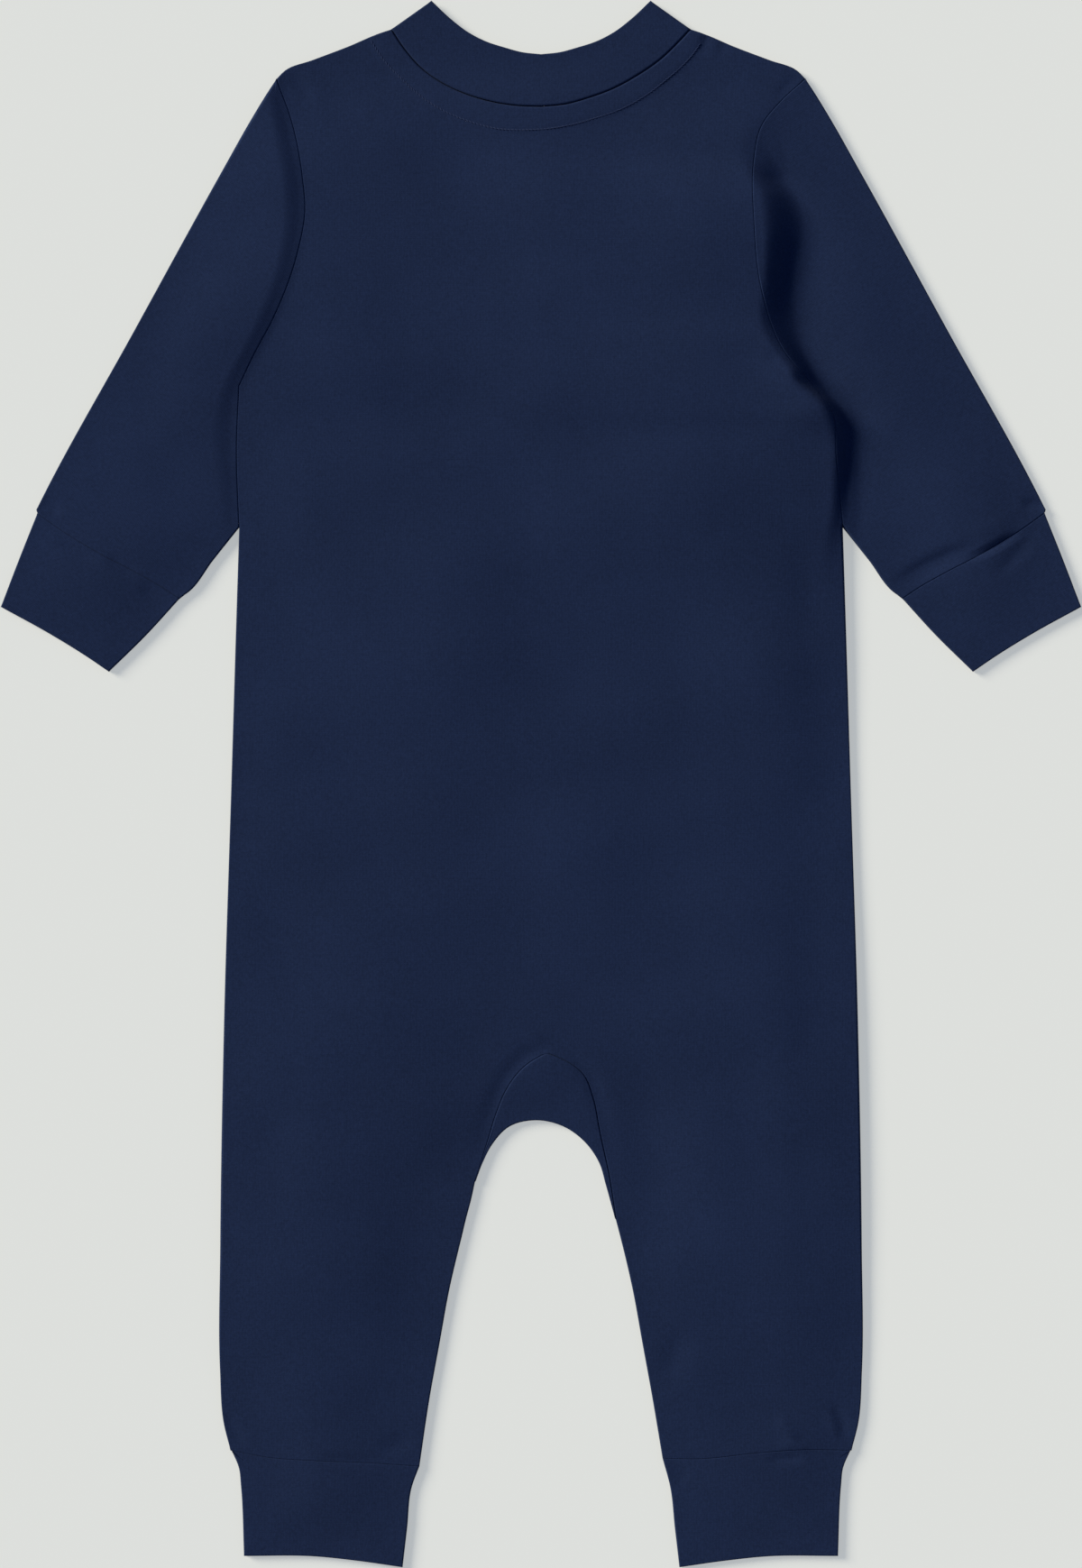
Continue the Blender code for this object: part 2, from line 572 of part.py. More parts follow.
def make_tape(name, side, surface):
    """One zip tape, with room for the slider's post at the top."""
    levels = np.concatenate([TAPE_LEVELS, np.linspace(TAPE_LEVELS[-1], ZIP_END, TAPE_SPANS + 1)[1:]])
    post_end = SLIDER_TOP - POST_INSET - POST_LENGTH
    near = np.where(levels > post_end - POST_ROOM, TAPE_TOP_GAP, TAPE_HALF_GAP)
    across = np.stack([near, np.full_like(near, 0.5 * TAPE_REACH), np.full_like(near, TAPE_REACH)], axis=1)
    plan = np.stack([side * across, np.repeat(levels[:, None], 3, axis=1)], axis=-1)
    return wall(name, [plan], (0,), lambda p: zip_level(p[..., 1]),
                lambda p: zip_level(p[..., 1]) + TAPE_THICK, surface)


def prism(points, low, high, upright):
    """An outline pushed from low to high: (x, y) points along Z, or upright (y, z) points along X."""
    made = bmesh.new()
    ends = [[made.verts.new((level, a, b) if upright else (a, b, level)) for a, b in points]
            for level in (low, high)]
    for ring in ends:
        made.faces.new(ring)
    for k in range(len(points)):
        following = (k + 1) % len(points)
        made.faces.new([ends[0][k], ends[0][following], ends[1][following], ends[1][k]])
    return made


def both_sides(rows, shift=0.0):
    """A closed outline from the rows on one side and their mirror images."""
    right = [(row.half_width, row.along + shift) for row in rows]
    return right + [(-x, y) for x, y in reversed(right)]


def joined_solid(name, shapes, cuts, surface):
    """One solid from overlapping shapes, less the cuts."""
    things = [finish(name if k == 0 else f"{name}_{k}", shape, surface)
              for k, shape in enumerate(shapes + cuts)]
    for k, other in enumerate(things[1:], start=1):
        step = things[0].modifiers.new(other.name, "BOOLEAN")
        step.object = other
        step.operation = "UNION" if k < len(shapes) else "DIFFERENCE"
        other.hide_render = True
        other.display_type = "WIRE"
    return things[0]


def make_slider(surface):
    """Two plates over the teeth, joined by a post, with a bridge for the pull tab."""
    plate = both_sides(PLATE_OUTLINE, SLIDER_TOP)
    under = BRIDGE + BRIDGE_WINDOW
    over = SLIDER_LIFT + TAPE_THICK + SEAM_GAP
    sink = 0.5 * PLATE
    reach = 0.5 * BRIDGE_LENGTH
    half_arch = (Arch(reach, under + sink), Arch(reach, BRIDGE_CHAMFER), Arch(reach - BRIDGE_CHAMFER, 0.0))
    corner = reach - BRIDGE - BRIDGE_CHAMFER + BRIDGE_EDGE
    half_window = (Arch(corner, BRIDGE), Arch(reach - BRIDGE, BRIDGE_CHAMFER + BRIDGE_EDGE),
                   Arch(reach - BRIDGE, under + sink))
    arch = half_arch + tuple(Arch(-row.along, row.level) for row in reversed(half_arch))
    window = tuple(Arch(-row.along, row.level) for row in reversed(half_window)) + half_window
    bridge = [(row.along + PULL_AXIS_Y, row.level) for row in arch + window]
    post_top = SLIDER_TOP - POST_INSET
    post = both_sides((Metal(POST_HALF_WIDTH, 0.0), Metal(POST_HALF_WIDTH, -POST_LENGTH)), post_top)
    shapes = [prism(plate, under, under + PLATE, False),
              prism(post, under + sink, over + sink, False),
              prism(plate, over, over + PLATE, False),
              prism(bridge, -BRIDGE_HALF_WIDTH, BRIDGE_HALF_WIDTH, True)]
    return joined_solid("zip_slider", shapes, [], surface)


def make_pull(surface):
    """A flat tab with an eye at its axis; it lies towards the hem, its tip on the surface."""
    bar = 0.5 * PULL_THICK
    eye = both_sides((Metal(PULL_EYE_HALF_WIDTH, -bar), Metal(PULL_EYE_HALF_WIDTH, -PULL_EYE_LENGTH)))
    pull = joined_solid("zip_pull", [prism(both_sides(PULL_OUTLINE), -bar, bar, False)],
                        [prism(eye, -2.0 * bar, 2.0 * bar, False)], surface)
    tilt = asin((PULL_AXIS_Z - bar - PULL_TIP_CLEARANCE) / -PULL_OUTLINE[-1].along)
    for thing in [other for other in bpy.data.objects if other.name.startswith("zip_pull")]:
        thing.location = (0.0, PULL_AXIS_Y * MM, PULL_AXIS_Z * MM)
        thing.rotation_euler = (tilt, 0.0, 0.0)
    return pull


def build():
    for thing in list(bpy.data.objects):
        bpy.data.objects.remove(thing, do_unlink=True)
    jersey = material("jersey", CLOTH_COLOUR, 0.95, 0.0)
    rib = material("cuff_jersey", CLOTH_COLOUR, 0.95, 0.0)
    tape = material("zip_tape", TAPE_COLOUR, 0.9, 0.0)
    metal = material("zip_metal", METAL_COLOUR, 0.4, 0.0)
    make_back(jersey)
    make_gusset(jersey)
    make_collar(rib)
    for word, side in (("left", -1), ("right", 1)):
        make_front(f"front_{word}", side, jersey)
        make_sleeve(f"sleeve_{word}", side, jersey)
        make_wrist_cuff(f"wrist_cuff_{word}", side, rib)
        make_ankle_cuff(f"ankle_cuff_{word}", side, rib)
        make_tape(f"zip_tape_{word}", side, tape)
    make_slider(metal)
    make_pull(metal)


build()
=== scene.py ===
"""Footless baby romper laid flat on its front: knitted cloth, seams, stitching and zip.

The back faces up, the collar points to +Y and the wearer's right side is at +X.
Tables and sizes are in millimetres; the meshes are made in metres.
"""
from collections import namedtuple

import bpy
import numpy as np
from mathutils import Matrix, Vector


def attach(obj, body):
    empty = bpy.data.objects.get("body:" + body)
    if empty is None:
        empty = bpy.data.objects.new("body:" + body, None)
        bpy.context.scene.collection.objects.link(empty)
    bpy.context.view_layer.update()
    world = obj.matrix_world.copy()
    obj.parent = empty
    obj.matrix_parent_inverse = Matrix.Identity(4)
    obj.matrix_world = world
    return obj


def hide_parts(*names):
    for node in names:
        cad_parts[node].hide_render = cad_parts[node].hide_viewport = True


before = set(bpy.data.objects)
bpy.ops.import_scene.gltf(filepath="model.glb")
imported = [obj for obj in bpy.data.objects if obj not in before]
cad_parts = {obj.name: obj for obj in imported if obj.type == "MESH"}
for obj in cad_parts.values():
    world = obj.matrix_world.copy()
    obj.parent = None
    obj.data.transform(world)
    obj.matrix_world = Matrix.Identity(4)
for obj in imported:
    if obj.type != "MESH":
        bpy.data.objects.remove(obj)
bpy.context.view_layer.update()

MM = 0.001

# Cloth: thickness, gaps, rims, rounds, and the rise of the upper layer. A seam's gap below zero laps
# the two pieces by a hair.
CLOTH = 0.8
DOUBLE_CLOTH = 1.1
EDGE_HEIGHT = 2.5
SEAM_GAP = -0.04
NECK_GAP = 0.26
SIDE_GAP = 0.12
RIM = 2.4
CUFF_RIM = 2.8
EDGE_ROUND = 0.42
GUSSET_RIM_SHARE = 0.25
SLEEVE_CORNER_RIM = 0.7
HOLDING_RING = 0.2
SEAM_LIP = 0.1
SLEEVE_LIP = 0.08
RISE = 2.0
RISE_REACH = 50.0
WAVE_REACH = 25.0
CALM_REACH = 8.0
LAYER_ROOM = 0.1
LAYER_BLEND = 0.04
RIM_SHARE = 0.8
RING_SHARE = 0.9
CUT_ROUND = 0.3
CUT_TUCK = 0.15
ROLL_TURNS = (22.5, 45.0, 67.5, 90.0)

# Zip: its tapes, where they part and end, and how the slider lifts them
TAPE_THICK = 0.6
TAPE_HALF_GAP = 0.15
TAPE_TOP_GAP = 1.3
TAPE_TOP = 282.4
TAPE_CLOSES = (277.4, 275.6)
TAPE_REACH = 10.5
TAPE_RIM = 0.6
TAPE_CLEAR = 0.45
FRONT_EDGE = 4.5
ZIP_END = -99.0
ZIP_CLOSE = -91.0
TAPE_LOW = 1.5
SLIDER_LIFT = 2.8
LIFT_START = 236.0
LIFT_FULL = 262.0
LIFT_EASE = 30.0
LIFT_FADE = 20.0
LIFT_END = 284.0
LIFT_FALL = 16.0
CALM_BELOW_ZIP = 20.0
TOOTH_PITCH = 2.2
TEETH_TOP = 276.4
SLIDER_ROOM = 1.3
SLIDER_ROOM_REACH = 30.0
SLIDER_ROOM_RISE = (215.0, 260.0)
SLIDER_ROOM_FALL = (283.0, 303.0)

# Seam allowance under the band round the back neck
BAND_HEIGHT = 0.35
BAND_EDGE = 1.6
BAND_FROM = 255.0
BAND_SPANS = 40

# The swell beside the right armhole's hollow runs over its line by the blend, and further where it is
# shallow.
HOLLOW_BLEND = 4.0
HOLLOW_SOFT = 15.0

# Rows and columns of the coarse nets; the fine nets split each span further.
ARMHOLE_ROWS = 10
UNDERARM_ROWS = 3
SIDE_ROWS = 22
ARC_ROWS = 6
INSEAM_ROWS = 6
ARM_ROWS = ARMHOLE_ROWS + UNDERARM_ROWS
CENTRE_ROWS = ARM_ROWS + SIDE_ROWS - ARC_ROWS - INSEAM_ROWS
NECK_COLUMNS = 5
SHOULDER_COLUMNS = 4
HALF_COLUMNS = NECK_COLUMNS + SHOULDER_COLUMNS
SLEEVE_COLUMNS = 5
WRIST_ROWS = 3
CUFF_ROWS = 3
ZIP_CLOSE_SPANS = 3
FRONT_SHOULDER_COLUMNS = 2
FRONT_NECK_STEPS = (0.0, 0.16, 0.33, 0.52, 0.75, 1.0)
FRONT_NECK_COLUMNS = len(FRONT_NECK_STEPS) - 1

# Samples and rounds of settling, and the limits at bends, corners, ends and points that repeat.
SAMPLES_PER_SPAN = 24
ANKLE_CORNER = 128.8
INSEAM_BELOW_TIP = 5.0
INSEAM_ABOVE_ANKLE = 10.0
SETTLE_ROUNDS = 60
GUSSET_ROUNDS = 2
EDGE_SPANS = 12
EASE_ROUNDS = 240
BEND_FULL = 18.0
BEND_NONE = 36.0
LEAST_DISTANCE = 0.02
LEAST_STEP = 1e-6
LEAST_MITRE = 0.5
CORNER_COSINE = 0.87
TUCK_REACH = 4.0
CREASE_SPANS = 14
CREASE_END = 0.4
BELL_REACH = 3.0
HEIGHT_SPANS = 239

Point = namedtuple("Point", "out up")
Sides = namedtuple("Sides", "out left right")
Crease = namedtuple("Crease", "depth right left route")
Hollow = namedtuple("Hollow", "up out share left right crest swell reach floor")
Swell = namedtuple("Swell", "up crest height left right")
Edge = namedtuple("Edge", "roll under middle welded", defaults=(0.04, False, False))
Split = namedtuple("Split", "rows columns")
Waves = namedtuple("Waves", "seed count size shortest longest")


def table(kind, *rows):
    """Rows of one kind, with their numbers named."""
    return tuple(kind(*row) for row in rows)


# Edges of one half: distance out from the middle line, height up from the middle.
SHOULDER = table(Point, (62.4, 314.0), (67.5, 312.3), (80.0, 307.0), (95.0, 301.3), (106.7, 296.8),
                        (110.1, 293.4))
SLEEVE_TOP = table(Point, (110.1, 293.4), (113.8, 287.8), (120.2, 277.3), (132.9, 254.8), (170.0, 187.4),
                          (207.2, 119.8), (210.0, 114.2))
SLEEVE_UNDER = table(Point, (125.6, 106.7), (136.5, 93.0), (147.0, 79.6), (148.9, 78.3))
SIDE_SEAM = table(Point, (125.6, 106.7), (126.6, 75.6), (129.0, -3.9), (131.8, -93.9), (133.5, -191.4),
                         (133.6, -243.9), (132.0, -266.4), (129.2, -277.3))
LEFT_INSEAM_START = Point(29.0, -172.7)
INSEAM = table(Point, (31.2, -181.0), (32.8, -187.7), (38.1, -210.2), (42.2, -232.7), (46.3, -255.2),
                      (50.6, -280.7))
WRIST_SEAM = table(Point, (150.4, 77.1), (158.4, 82.3), (167.1, 87.2), (184.3, 96.2), (200.1, 105.9),
                          (209.6, 112.7))
WRIST_OUTER = table(Point, (209.6, 112.7), (217.2, 93.6), (224.8, 73.7))
WRIST_INNER = table(Point, (150.4, 77.1), (164.1, 62.1), (179.8, 46.7))
WRIST_HEM = table(Point, (179.8, 46.7), (189.2, 53.1), (203.8, 62.1), (224.8, 73.7))
ANKLE_OUTER = table(Point, (128.0, -279.2), (125.7, -284.8), (124.9, -292.0), (123.6, -321.2))
ANKLE_INNER = table(Point, (51.4, -282.2), (53.8, -292.7), (55.7, -309.6), (57.6, -325.9))
ANKLE_HEM = table(Point, (57.6, -325.9), (75.0, -323.4), (93.9, -321.4), (123.6, -321.2))
FRONT_NECK = table(Point, (4.5, 260.4), (20.0, 263.4), (35.0, 271.5), (47.0, 284.0), (57.0, 300.5),
                          (62.4, 314.0))
FRONT_COLLAR_TOP = table(Point, (4.5, 282.9), (14.0, 285.0), (24.0, 291.0), (33.0, 300.0), (40.0, 311.0),
                                (45.6, 325.9))
COLLAR_TOP = table(Point, (0.0, 303.6), (8.0, 304.5), (15.0, 306.4), (23.0, 309.0), (30.0, 312.6),
                          (38.0, 318.7), (45.6, 325.9))

# Height of the back neck seam at a distance out from the middle, on the left and on the right.
BACK_NECK = table(Sides, (0.0, 281.4, 281.4), (10.0, 281.8, 282.4), (20.0, 283.4, 285.2),
                         (30.0, 286.3, 289.0), (40.0, 290.8, 294.5), (50.0, 297.9, 301.5),
                         (57.0, 305.9, 308.2), (62.4, 314.0, 314.0))

# Armhole seam from the shoulder tip to the underarm, and the crease from there to the notch.
LEFT_ARMHOLE = table(Point, (110.1, 293.4), (103.7, 275.8), (99.2, 252.9), (98.1, 237.9), (101.1, 221.1),
                            (111.6, 192.9), (118.7, 179.8), (125.6, 165.6))
RIGHT_ARMHOLE = table(Point, (110.1, 293.4), (99.9, 284.1), (91.7, 273.6), (88.3, 258.0), (88.3, 233.8),
                             (91.7, 203.9), (100.0, 181.0), (114.6, 163.8))
LEFT_UNDERARM = table(Point, (125.6, 165.6), (126.6, 140.0), (125.6, 106.7))
RIGHT_UNDERARM = table(Point, (114.6, 163.8), (120.6, 154.5), (122.6, 135.0), (125.6, 106.7))

# Gusset: its seam from the middle to the tip, and the crotch edge from the middle to the tip.
ARC_TOP = Point(1.7, -112.3)
CROTCH_TOP = Point(-1.3, -140.0)
LEFT_ARC = table(Point, (2.4, -114.2), (7.5, -117.9), (14.4, -126.9), (18.6, -136.7), (22.3, -148.7),
                        (27.45, -165.5))
RIGHT_ARC = table(Point, (8.1, -114.2), (17.4, -120.6), (21.6, -130.7), (24.2, -143.8), (28.5, -164.1),
                         (31.05, -181.0))
LEFT_CROTCH = table(Point, (13.3, -142.7), (20.4, -150.2), (24.3, -157.7), (27.2, -165.35))
RIGHT_CROTCH = table(Point, (9.6, -142.7), (19.3, -150.2), (24.2, -157.7), (27.0, -167.0),
                            (30.8, -180.85))

# The front edges below the zip, from its last tooth to the point where they meet.
ZIP_FOOT = table(Point, (FRONT_EDGE, ZIP_CLOSE), (3.9, -94.6), (1.7, -97.2))
CLOSED = Point(0.2, -99.0)
ARMHOLE_BEND = Point(92.0, 275.0)
ZIP_BEND = Point(3.0, -96.0)

# Ankle seam from the inseam to the side seam.
LEFT_ANKLE = table(Point, (50.6, -283.9), (72.6, -282.4), (95.4, -281.4), (112.7, -280.3),
                          (129.2, -277.3))
RIGHT_ANKLE = table(Point, (50.6, -280.7), (67.3, -280.7), (88.7, -278.4), (108.6, -277.0),
                           (129.2, -277.3))

# Row of stitching round the back neck, left to right.
NECK_STITCHING = ((-70.7, 309.2), (-66.6, 302.8), (-58.1, 293.4), (-47.4, 284.1), (-40.3, 279.8),
                  (-29.8, 275.4), (-17.1, 272.1), (-8.8, 271.7), (1.9, 272.1), (12.6, 273.9),
                  (23.1, 276.9), (33.6, 280.7), (44.1, 286.7), (52.3, 293.1), (58.7, 298.7),
                  (63.9, 304.5), (66.2, 308.1))

# Creases in the upper layer: depth (a ridge is below zero), half widths to the right and to the
# left of the direction of travel, and the route across the garment.
UPPER_CREASES = table(
    Crease,
    # right armhole and underarm
    (0.6, 2.2, 3.0, ((92, 180), (98, 175.5), (106, 170))),
    (-2.0, 12.0, 3.5, ((92, 190), (101, 180), (107, 171), (114.5, 161), (118.5, 150), (119, 138))),
    # shoulders
    (0.5, 1.8, 1.8, ((71, 313), (68.5, 309), (66, 305))),
    (0.4, 1.6, 1.6, ((78, 310), (75.5, 306), (73, 302))),
    (0.6, 3.0, 3.0, ((-106, 297), (-99, 289), (-94, 283))),
    (0.35, 2.0, 2.0, ((107, 296), (102, 290), (97, 284))),
    # right wrist
    (1.0, 5.0, 2.8, ((144, 81), (156, 88.5), (168, 94.5), (186, 100.5))),
    (1.3, 1.1, 1.3, ((174, 91.5), (188, 98.5), (202, 106.6))),
    (-0.3, 4.0, 4.0, ((176, 104), (188, 107), (200, 112))),
    (0.7, 2.2, 2.2, ((199, 116), (206, 116.5), (211, 115))),
    (0.5, 3.0, 3.0, ((208, 107), (197, 94.7), (187, 85))),
    # left wrist
    (0.45, 3.2, 2.0, ((-203, 103), (-193, 97.5), (-182, 91.5))),
    (0.4, 3.0, 2.6, ((-182, 97), (-174, 91), (-166, 86.5))),
    (0.5, 3.0, 2.6, ((-168, 83), (-160, 77.5), (-152, 73))),
    (0.5, 2.4, 2.4, ((-211, 117), (-205, 116), (-199, 111))),
    # ankles
    (0.45, 1.8, 1.8, ((-98, -280.4), (-80, -281.0), (-60, -282.4))),
    (0.4, 3.0, 4.0, ((-70, -277.5), (-60, -275.0), (-52, -271))),
    (-0.5, 1.6, 1.8, ((96, -275.0), (105, -275.4), (114, -276.0))),
    (0.55, 2.0, 1.8, ((92, -280.6), (101, -280.6), (111, -280.0))),
    (0.5, 2.2, 2.2, ((120.0, -256), (124.5, -264), (128.5, -273))),
    (-0.4, 1.8, 1.8, ((118.0, -260), (121.5, -267), (124.5, -273))),
    (0.5, 2.0, 2.4, ((-133, -262), (-129, -268), (-122, -275))),
    (0.4, 3.0, 3.0, ((53, -284), (57, -287), (62, -289))),
    (0.6, 5.0, 6.0, ((60, -224), (56, -236), (51, -250))),
    (-0.6, 2.4, 2.4, ((97, -262), (103, -269), (108, -275))),
    # gusset seam
    (0.65, 2.6, 3.8, ((-29, -170), (-22.6, -143), (-14.5, -122), (2, -109.2), (18, -118), (25, -138),
                      (31, -172))),
    # back and legs, wide and low
    (-0.8, 14.0, 26.0, ((-118, 192), (-60, 178), (-8, 176))),
    (0.8, 20.0, 16.0, ((-122, 160), (-70, 146), (0, 158))),
    (-1.2, 46.0, 50.0, ((-50, 132), (-46, 96), (-52, 62), (-66, 28), (-84, 0))),
    (-1.2, 34.0, 44.0, ((104, 156), (96, 110), (98, 60), (100, 10))),
    (0.5, 8.0, 8.0, ((107, 110), (111, 82), (109, 50))),
    (-1.5, 44.0, 26.0, ((-92, -66), (-98, -120), (-112, -190), (-118, -262))),
    (0.8, 12.0, 16.0, ((44, -100), (48, -150), (60, -205))),
    (-1.5, 18.0, 46.0, ((104, -20), (104, -90), (106, -170), (110, -250))),
    (-0.5, 16.0, 22.0, ((20, 250), (0, 200), (12, 120), (0, 20))),
)

# The deep hollow under the right armhole. At each height: its lowest line, the share of the full depth,
# its reach to the left and to the right, the swell of the back on its left (crest, height, reach), and
# the width of its flat floor.
RIGHT_HOLLOW = table(
    Hollow,
    (290.0, 92.0, 0.00, 9.0, 14.0, 74.0, 0.0, 120.0, 0.0),
    (276.0, 92.0, 0.00, 11.0, 16.0, 73.0, 0.8, 120.0, 0.0),
    (269.1, 93.0, 0.10, 13.0, 16.0, 72.0, 1.4, 120.0, 0.0),
    (261.6, 95.5, 0.34, 15.0, 17.0, 71.0, 2.1, 120.0, 0.5),
    (257.1, 98.0, 0.66, 15.0, 20.0, 70.0, 3.0, 120.0, 1.0),
    (252.6, 101.0, 0.98, 15.5, 24.0, 70.0, 4.1, 120.0, 1.5),
    (248.1, 104.4, 1.00, 16.4, 29.0, 70.0, 5.0, 120.0, 2.0),
    (243.6, 107.4, 1.00, 17.4, 35.0, 70.0, 5.8, 120.0, 2.0),
    (236.0, 109.8, 1.00, 18.6, 40.0, 70.0, 6.4, 120.0, 2.5),
    (228.0, 109.8, 1.00, 18.0, 42.0, 70.0, 6.5, 120.0, 2.5),
    (221.1, 108.4, 1.00, 16.6, 42.0, 70.0, 6.2, 120.0, 2.0),
    (214.0, 107.0, 1.00, 15.4, 42.0, 70.0, 6.0, 120.0, 1.2),
    (203.1, 106.0, 1.00, 15.4, 40.0, 71.0, 5.7, 119.0, 0.8),
    (194.1, 107.0, 1.00, 17.4, 36.0, 72.0, 5.8, 118.0, 0.8),
    (185.1, 109.0, 1.00, 17.0, 29.0, 74.0, 6.6, 118.0, 1.2),
    (176.1, 112.2, 1.00, 14.0, 23.0, 77.0, 7.1, 119.0, 2.0),
    (171.6, 114.2, 1.00, 12.6, 21.0, 80.0, 7.4, 120.0, 3.0),
    (167.1, 115.6, 1.00, 12.0, 20.0, 84.0, 7.6, 122.0, 4.0),
    (162.6, 119.8, 1.00, 11.2, 19.0, 88.0, 7.7, 124.0, 4.2),
    (158.1, 124.6, 1.00, 9.8, 19.0, 92.0, 7.6, 126.0, 4.0),
    (153.6, 127.4, 0.98, 8.6, 18.0, 96.0, 7.4, 127.0, 3.0),
    (147.0, 128.6, 0.88, 8.0, 17.0, 101.0, 6.4, 128.0, 1.5),
    (138.0, 128.6, 0.76, 7.4, 16.0, 105.0, 5.8, 128.0, 0.8),
    (126.0, 127.8, 0.60, 7.0, 14.0, 107.0, 4.8, 126.0, 0.5),
    (113.0, 127.0, 0.34, 6.6, 12.0, 107.0, 3.4, 122.0, 0.0),
    (101.0, 125.0, 0.12, 6.8, 12.0, 106.0, 2.0, 116.0, 0.0),
    (86.0, 123.0, 0.00, 6.4, 12.0, 105.0, 0.8, 106.0, 0.0),
    (62.0, 120.0, 0.00, 6.0, 12.0, 104.0, 0.0, 98.0, 0.0),
    (30.0, 118.0, 0.00, 6.0, 12.0, 104.0, 0.0, 90.0, 0.0),
)

# The swell of the left sleeve beside its armhole. At each height: its crest, height, and reach to the
# left and to the right.
LEFT_SWELL = table(
    Swell,
    (302.0, -114.0, 0.2, 30.0, 7.0), (285.0, -114.0, 1.7, 34.0, 9.0), (270.0, -111.5, 2.2, 40.0, 10.0),
    (253.0, -108.5, 2.2, 46.0, 10.5), (238.0, -107.5, 1.9, 48.0, 10.5), (221.0, -109.5, 1.9, 48.0, 10.5),
    (204.0, -114.5, 1.8, 46.0, 10.5), (193.0, -119.0, 1.8, 44.0, 10.5), (180.0, -125.5, 1.6, 42.0, 10.5),
    (170.0, -131.0, 1.4, 38.0, 10.0), (160.0, -135.0, 1.2, 32.0, 10.0), (145.0, -137.0, 0.9, 30.0, 10.0),
    (125.0, -134.5, 0.8, 26.0, 9.0), (110.0, -133.0, 0.4, 22.0, 8.0), (95.0, -133.0, 0.0, 22.0, 8.0),
)

# Creases in the lower layer, as lifts off the surface.
LOWER_CREASES = table(
    Crease,
    (1.1, 5.0, 3.0, ((86, 282), (81, 254), (79, 224), (83, 194), (92, 174))),
    (1.2, 3.5, 5.5, ((-104, 282), (-98, 254), (-98, 226), (-104, 198), (-116, 176))),
    (0.8, 4.0, 6.0, ((98, 152), (80, 150), (58, 156))),
    (0.9, 5.0, 4.0, ((-118, 172), (-94, 156), (-74, 152))),
    (0.5, 6.0, 9.0, ((-96, 96), (-62, 84), (-26, 88))),
    (0.5, 9.0, 6.0, ((104, 60), (70, 44), (30, 46))),
    (0.4, 5.0, 7.0, ((-110, -8), (-74, -22), (-40, -20))),
    (0.5, 6.0, 5.0, ((112, -52), (76, -64), (38, -60))),
    (0.9, 3.0, 5.0, ((-20, -122), (-40, -108), (-66, -102))),
    (0.8, 4.0, 3.0, ((24, -126), (44, -114), (74, -112))),
    (0.7, 4.0, 4.0, ((-34, -182), (-58, -176), (-86, -182))),
    (0.7, 4.0, 5.0, ((38, -196), (62, -188), (94, -196))),
    (0.6, 3.0, 4.0, ((-122, -252), (-104, -246), (-80, -250))),
    (0.6, 4.0, 3.0, ((120, -246), (100, -238), (76, -242))),
    (0.8, 3.5, 5.0, ((150, 206), (136, 184), (126, 166))),
    (0.9, 4.0, 3.0, ((-148, 208), (-132, 192), (-122, 178))),
    (0.6, 3.0, 3.0, ((172, 150), (158, 140), (146, 126))),
    (0.6, 3.0, 3.5, ((-176, 144), (-160, 136), (-150, 122))),
    (0.5, 2.0, 2.5, ((166, 94), (178, 101), (192, 108))),
    (0.5, 2.5, 2.0, ((-160, 90), (-174, 98), (-190, 107))),
)

# Long soft waves of each layer: seed, count, size, shortest and longest wave.
UPPER_WAVES = Waves(4, 16, 0.10, 38.0, 110.0)
LOWER_WAVES = Waves(9, 14, 0.05, 30.0, 90.0)

# Edges: roll radius, lower rounding, whether it meets the other layer half-way, whether it is folded.
SEAM = Edge(0.38)
DEEP_SEAM = Edge(0.8)
GUSSET_SEAM = Edge(0.62)
GUSSET_SHADED = Edge(0.16)
ARC_SHADED = Edge(0.3)
ARC_LIT = Edge(0.75)
SIDE = Edge(0.0, middle=True)
FOLD = Edge(0.0, middle=True, welded=True)
HEM = Edge(0.55, 0.5)
ZIP_HEM = Edge(0.4, 0.35)
TAPE_EDGE = Edge(0.25, 0.25)

BACK_SPLIT = Split(8, 8)
FRONT_SPLIT = Split(8, 10)
SLEEVE_SPLIT = Split(15, 15)
WRIST_SPLIT = Split(14, 14)
ANKLE_SPLIT = Split(14, 10)
COLLAR_SPLIT = Split(12, 12)
GUSSET_SPLIT = Split(12, 6)


# ---------------------------------------------------------------- lines and nets

def smooth(rows):
    """A dense line on a cubic curve through the rows, with slopes from the neighbours."""
    knots = np.array(rows, dtype=float)
    steps = np.linalg.norm(np.diff(knots, axis=0), axis=1)
    along = np.concatenate([[0.0], np.cumsum(steps)])
    slopes = np.gradient(knots, along, axis=0)
    fine = np.linspace(0.0, along[-1], SAMPLES_PER_SPAN * len(steps) + 1)
    span = np.clip(np.searchsorted(along, fine, side="right") - 1, 0, len(steps) - 1)
    t = ((fine - along[span]) / steps[span])[:, None]
    reach = steps[span][:, None]
    start, end = knots[span], knots[span + 1]
    hermite = (2 * t**3 - 3 * t**2 + 1) * start + (3 * t**2 - 2 * t**3) * end
    return hermite + reach * ((t**3 - 2 * t**2 + t) * slopes[span] + (t**3 - t**2) * slopes[span + 1])


def fractions_of(line):
    """How far along its own length each point of a line lies, from 0 to 1."""
    steps = np.linalg.norm(np.diff(line, axis=0), axis=1)
    return np.concatenate([[0.0], np.cumsum(steps)]) / steps.sum()


def at(line, fractions):
    """Points at the given fractions of a line's length."""
    along = fractions_of(line)
    return np.stack([np.interp(fractions, along, line[:, axis]) for axis in range(line.shape[1])], axis=1)


def spaced(line, count):
    """Count spans of equal length on a line."""
    return at(np.asarray(line, dtype=float), np.linspace(0.0, 1.0, count + 1))


def evenly(rows, count):
    """Count spans of equal length on the smooth curve through the rows."""
    return spaced(smooth(rows), count)


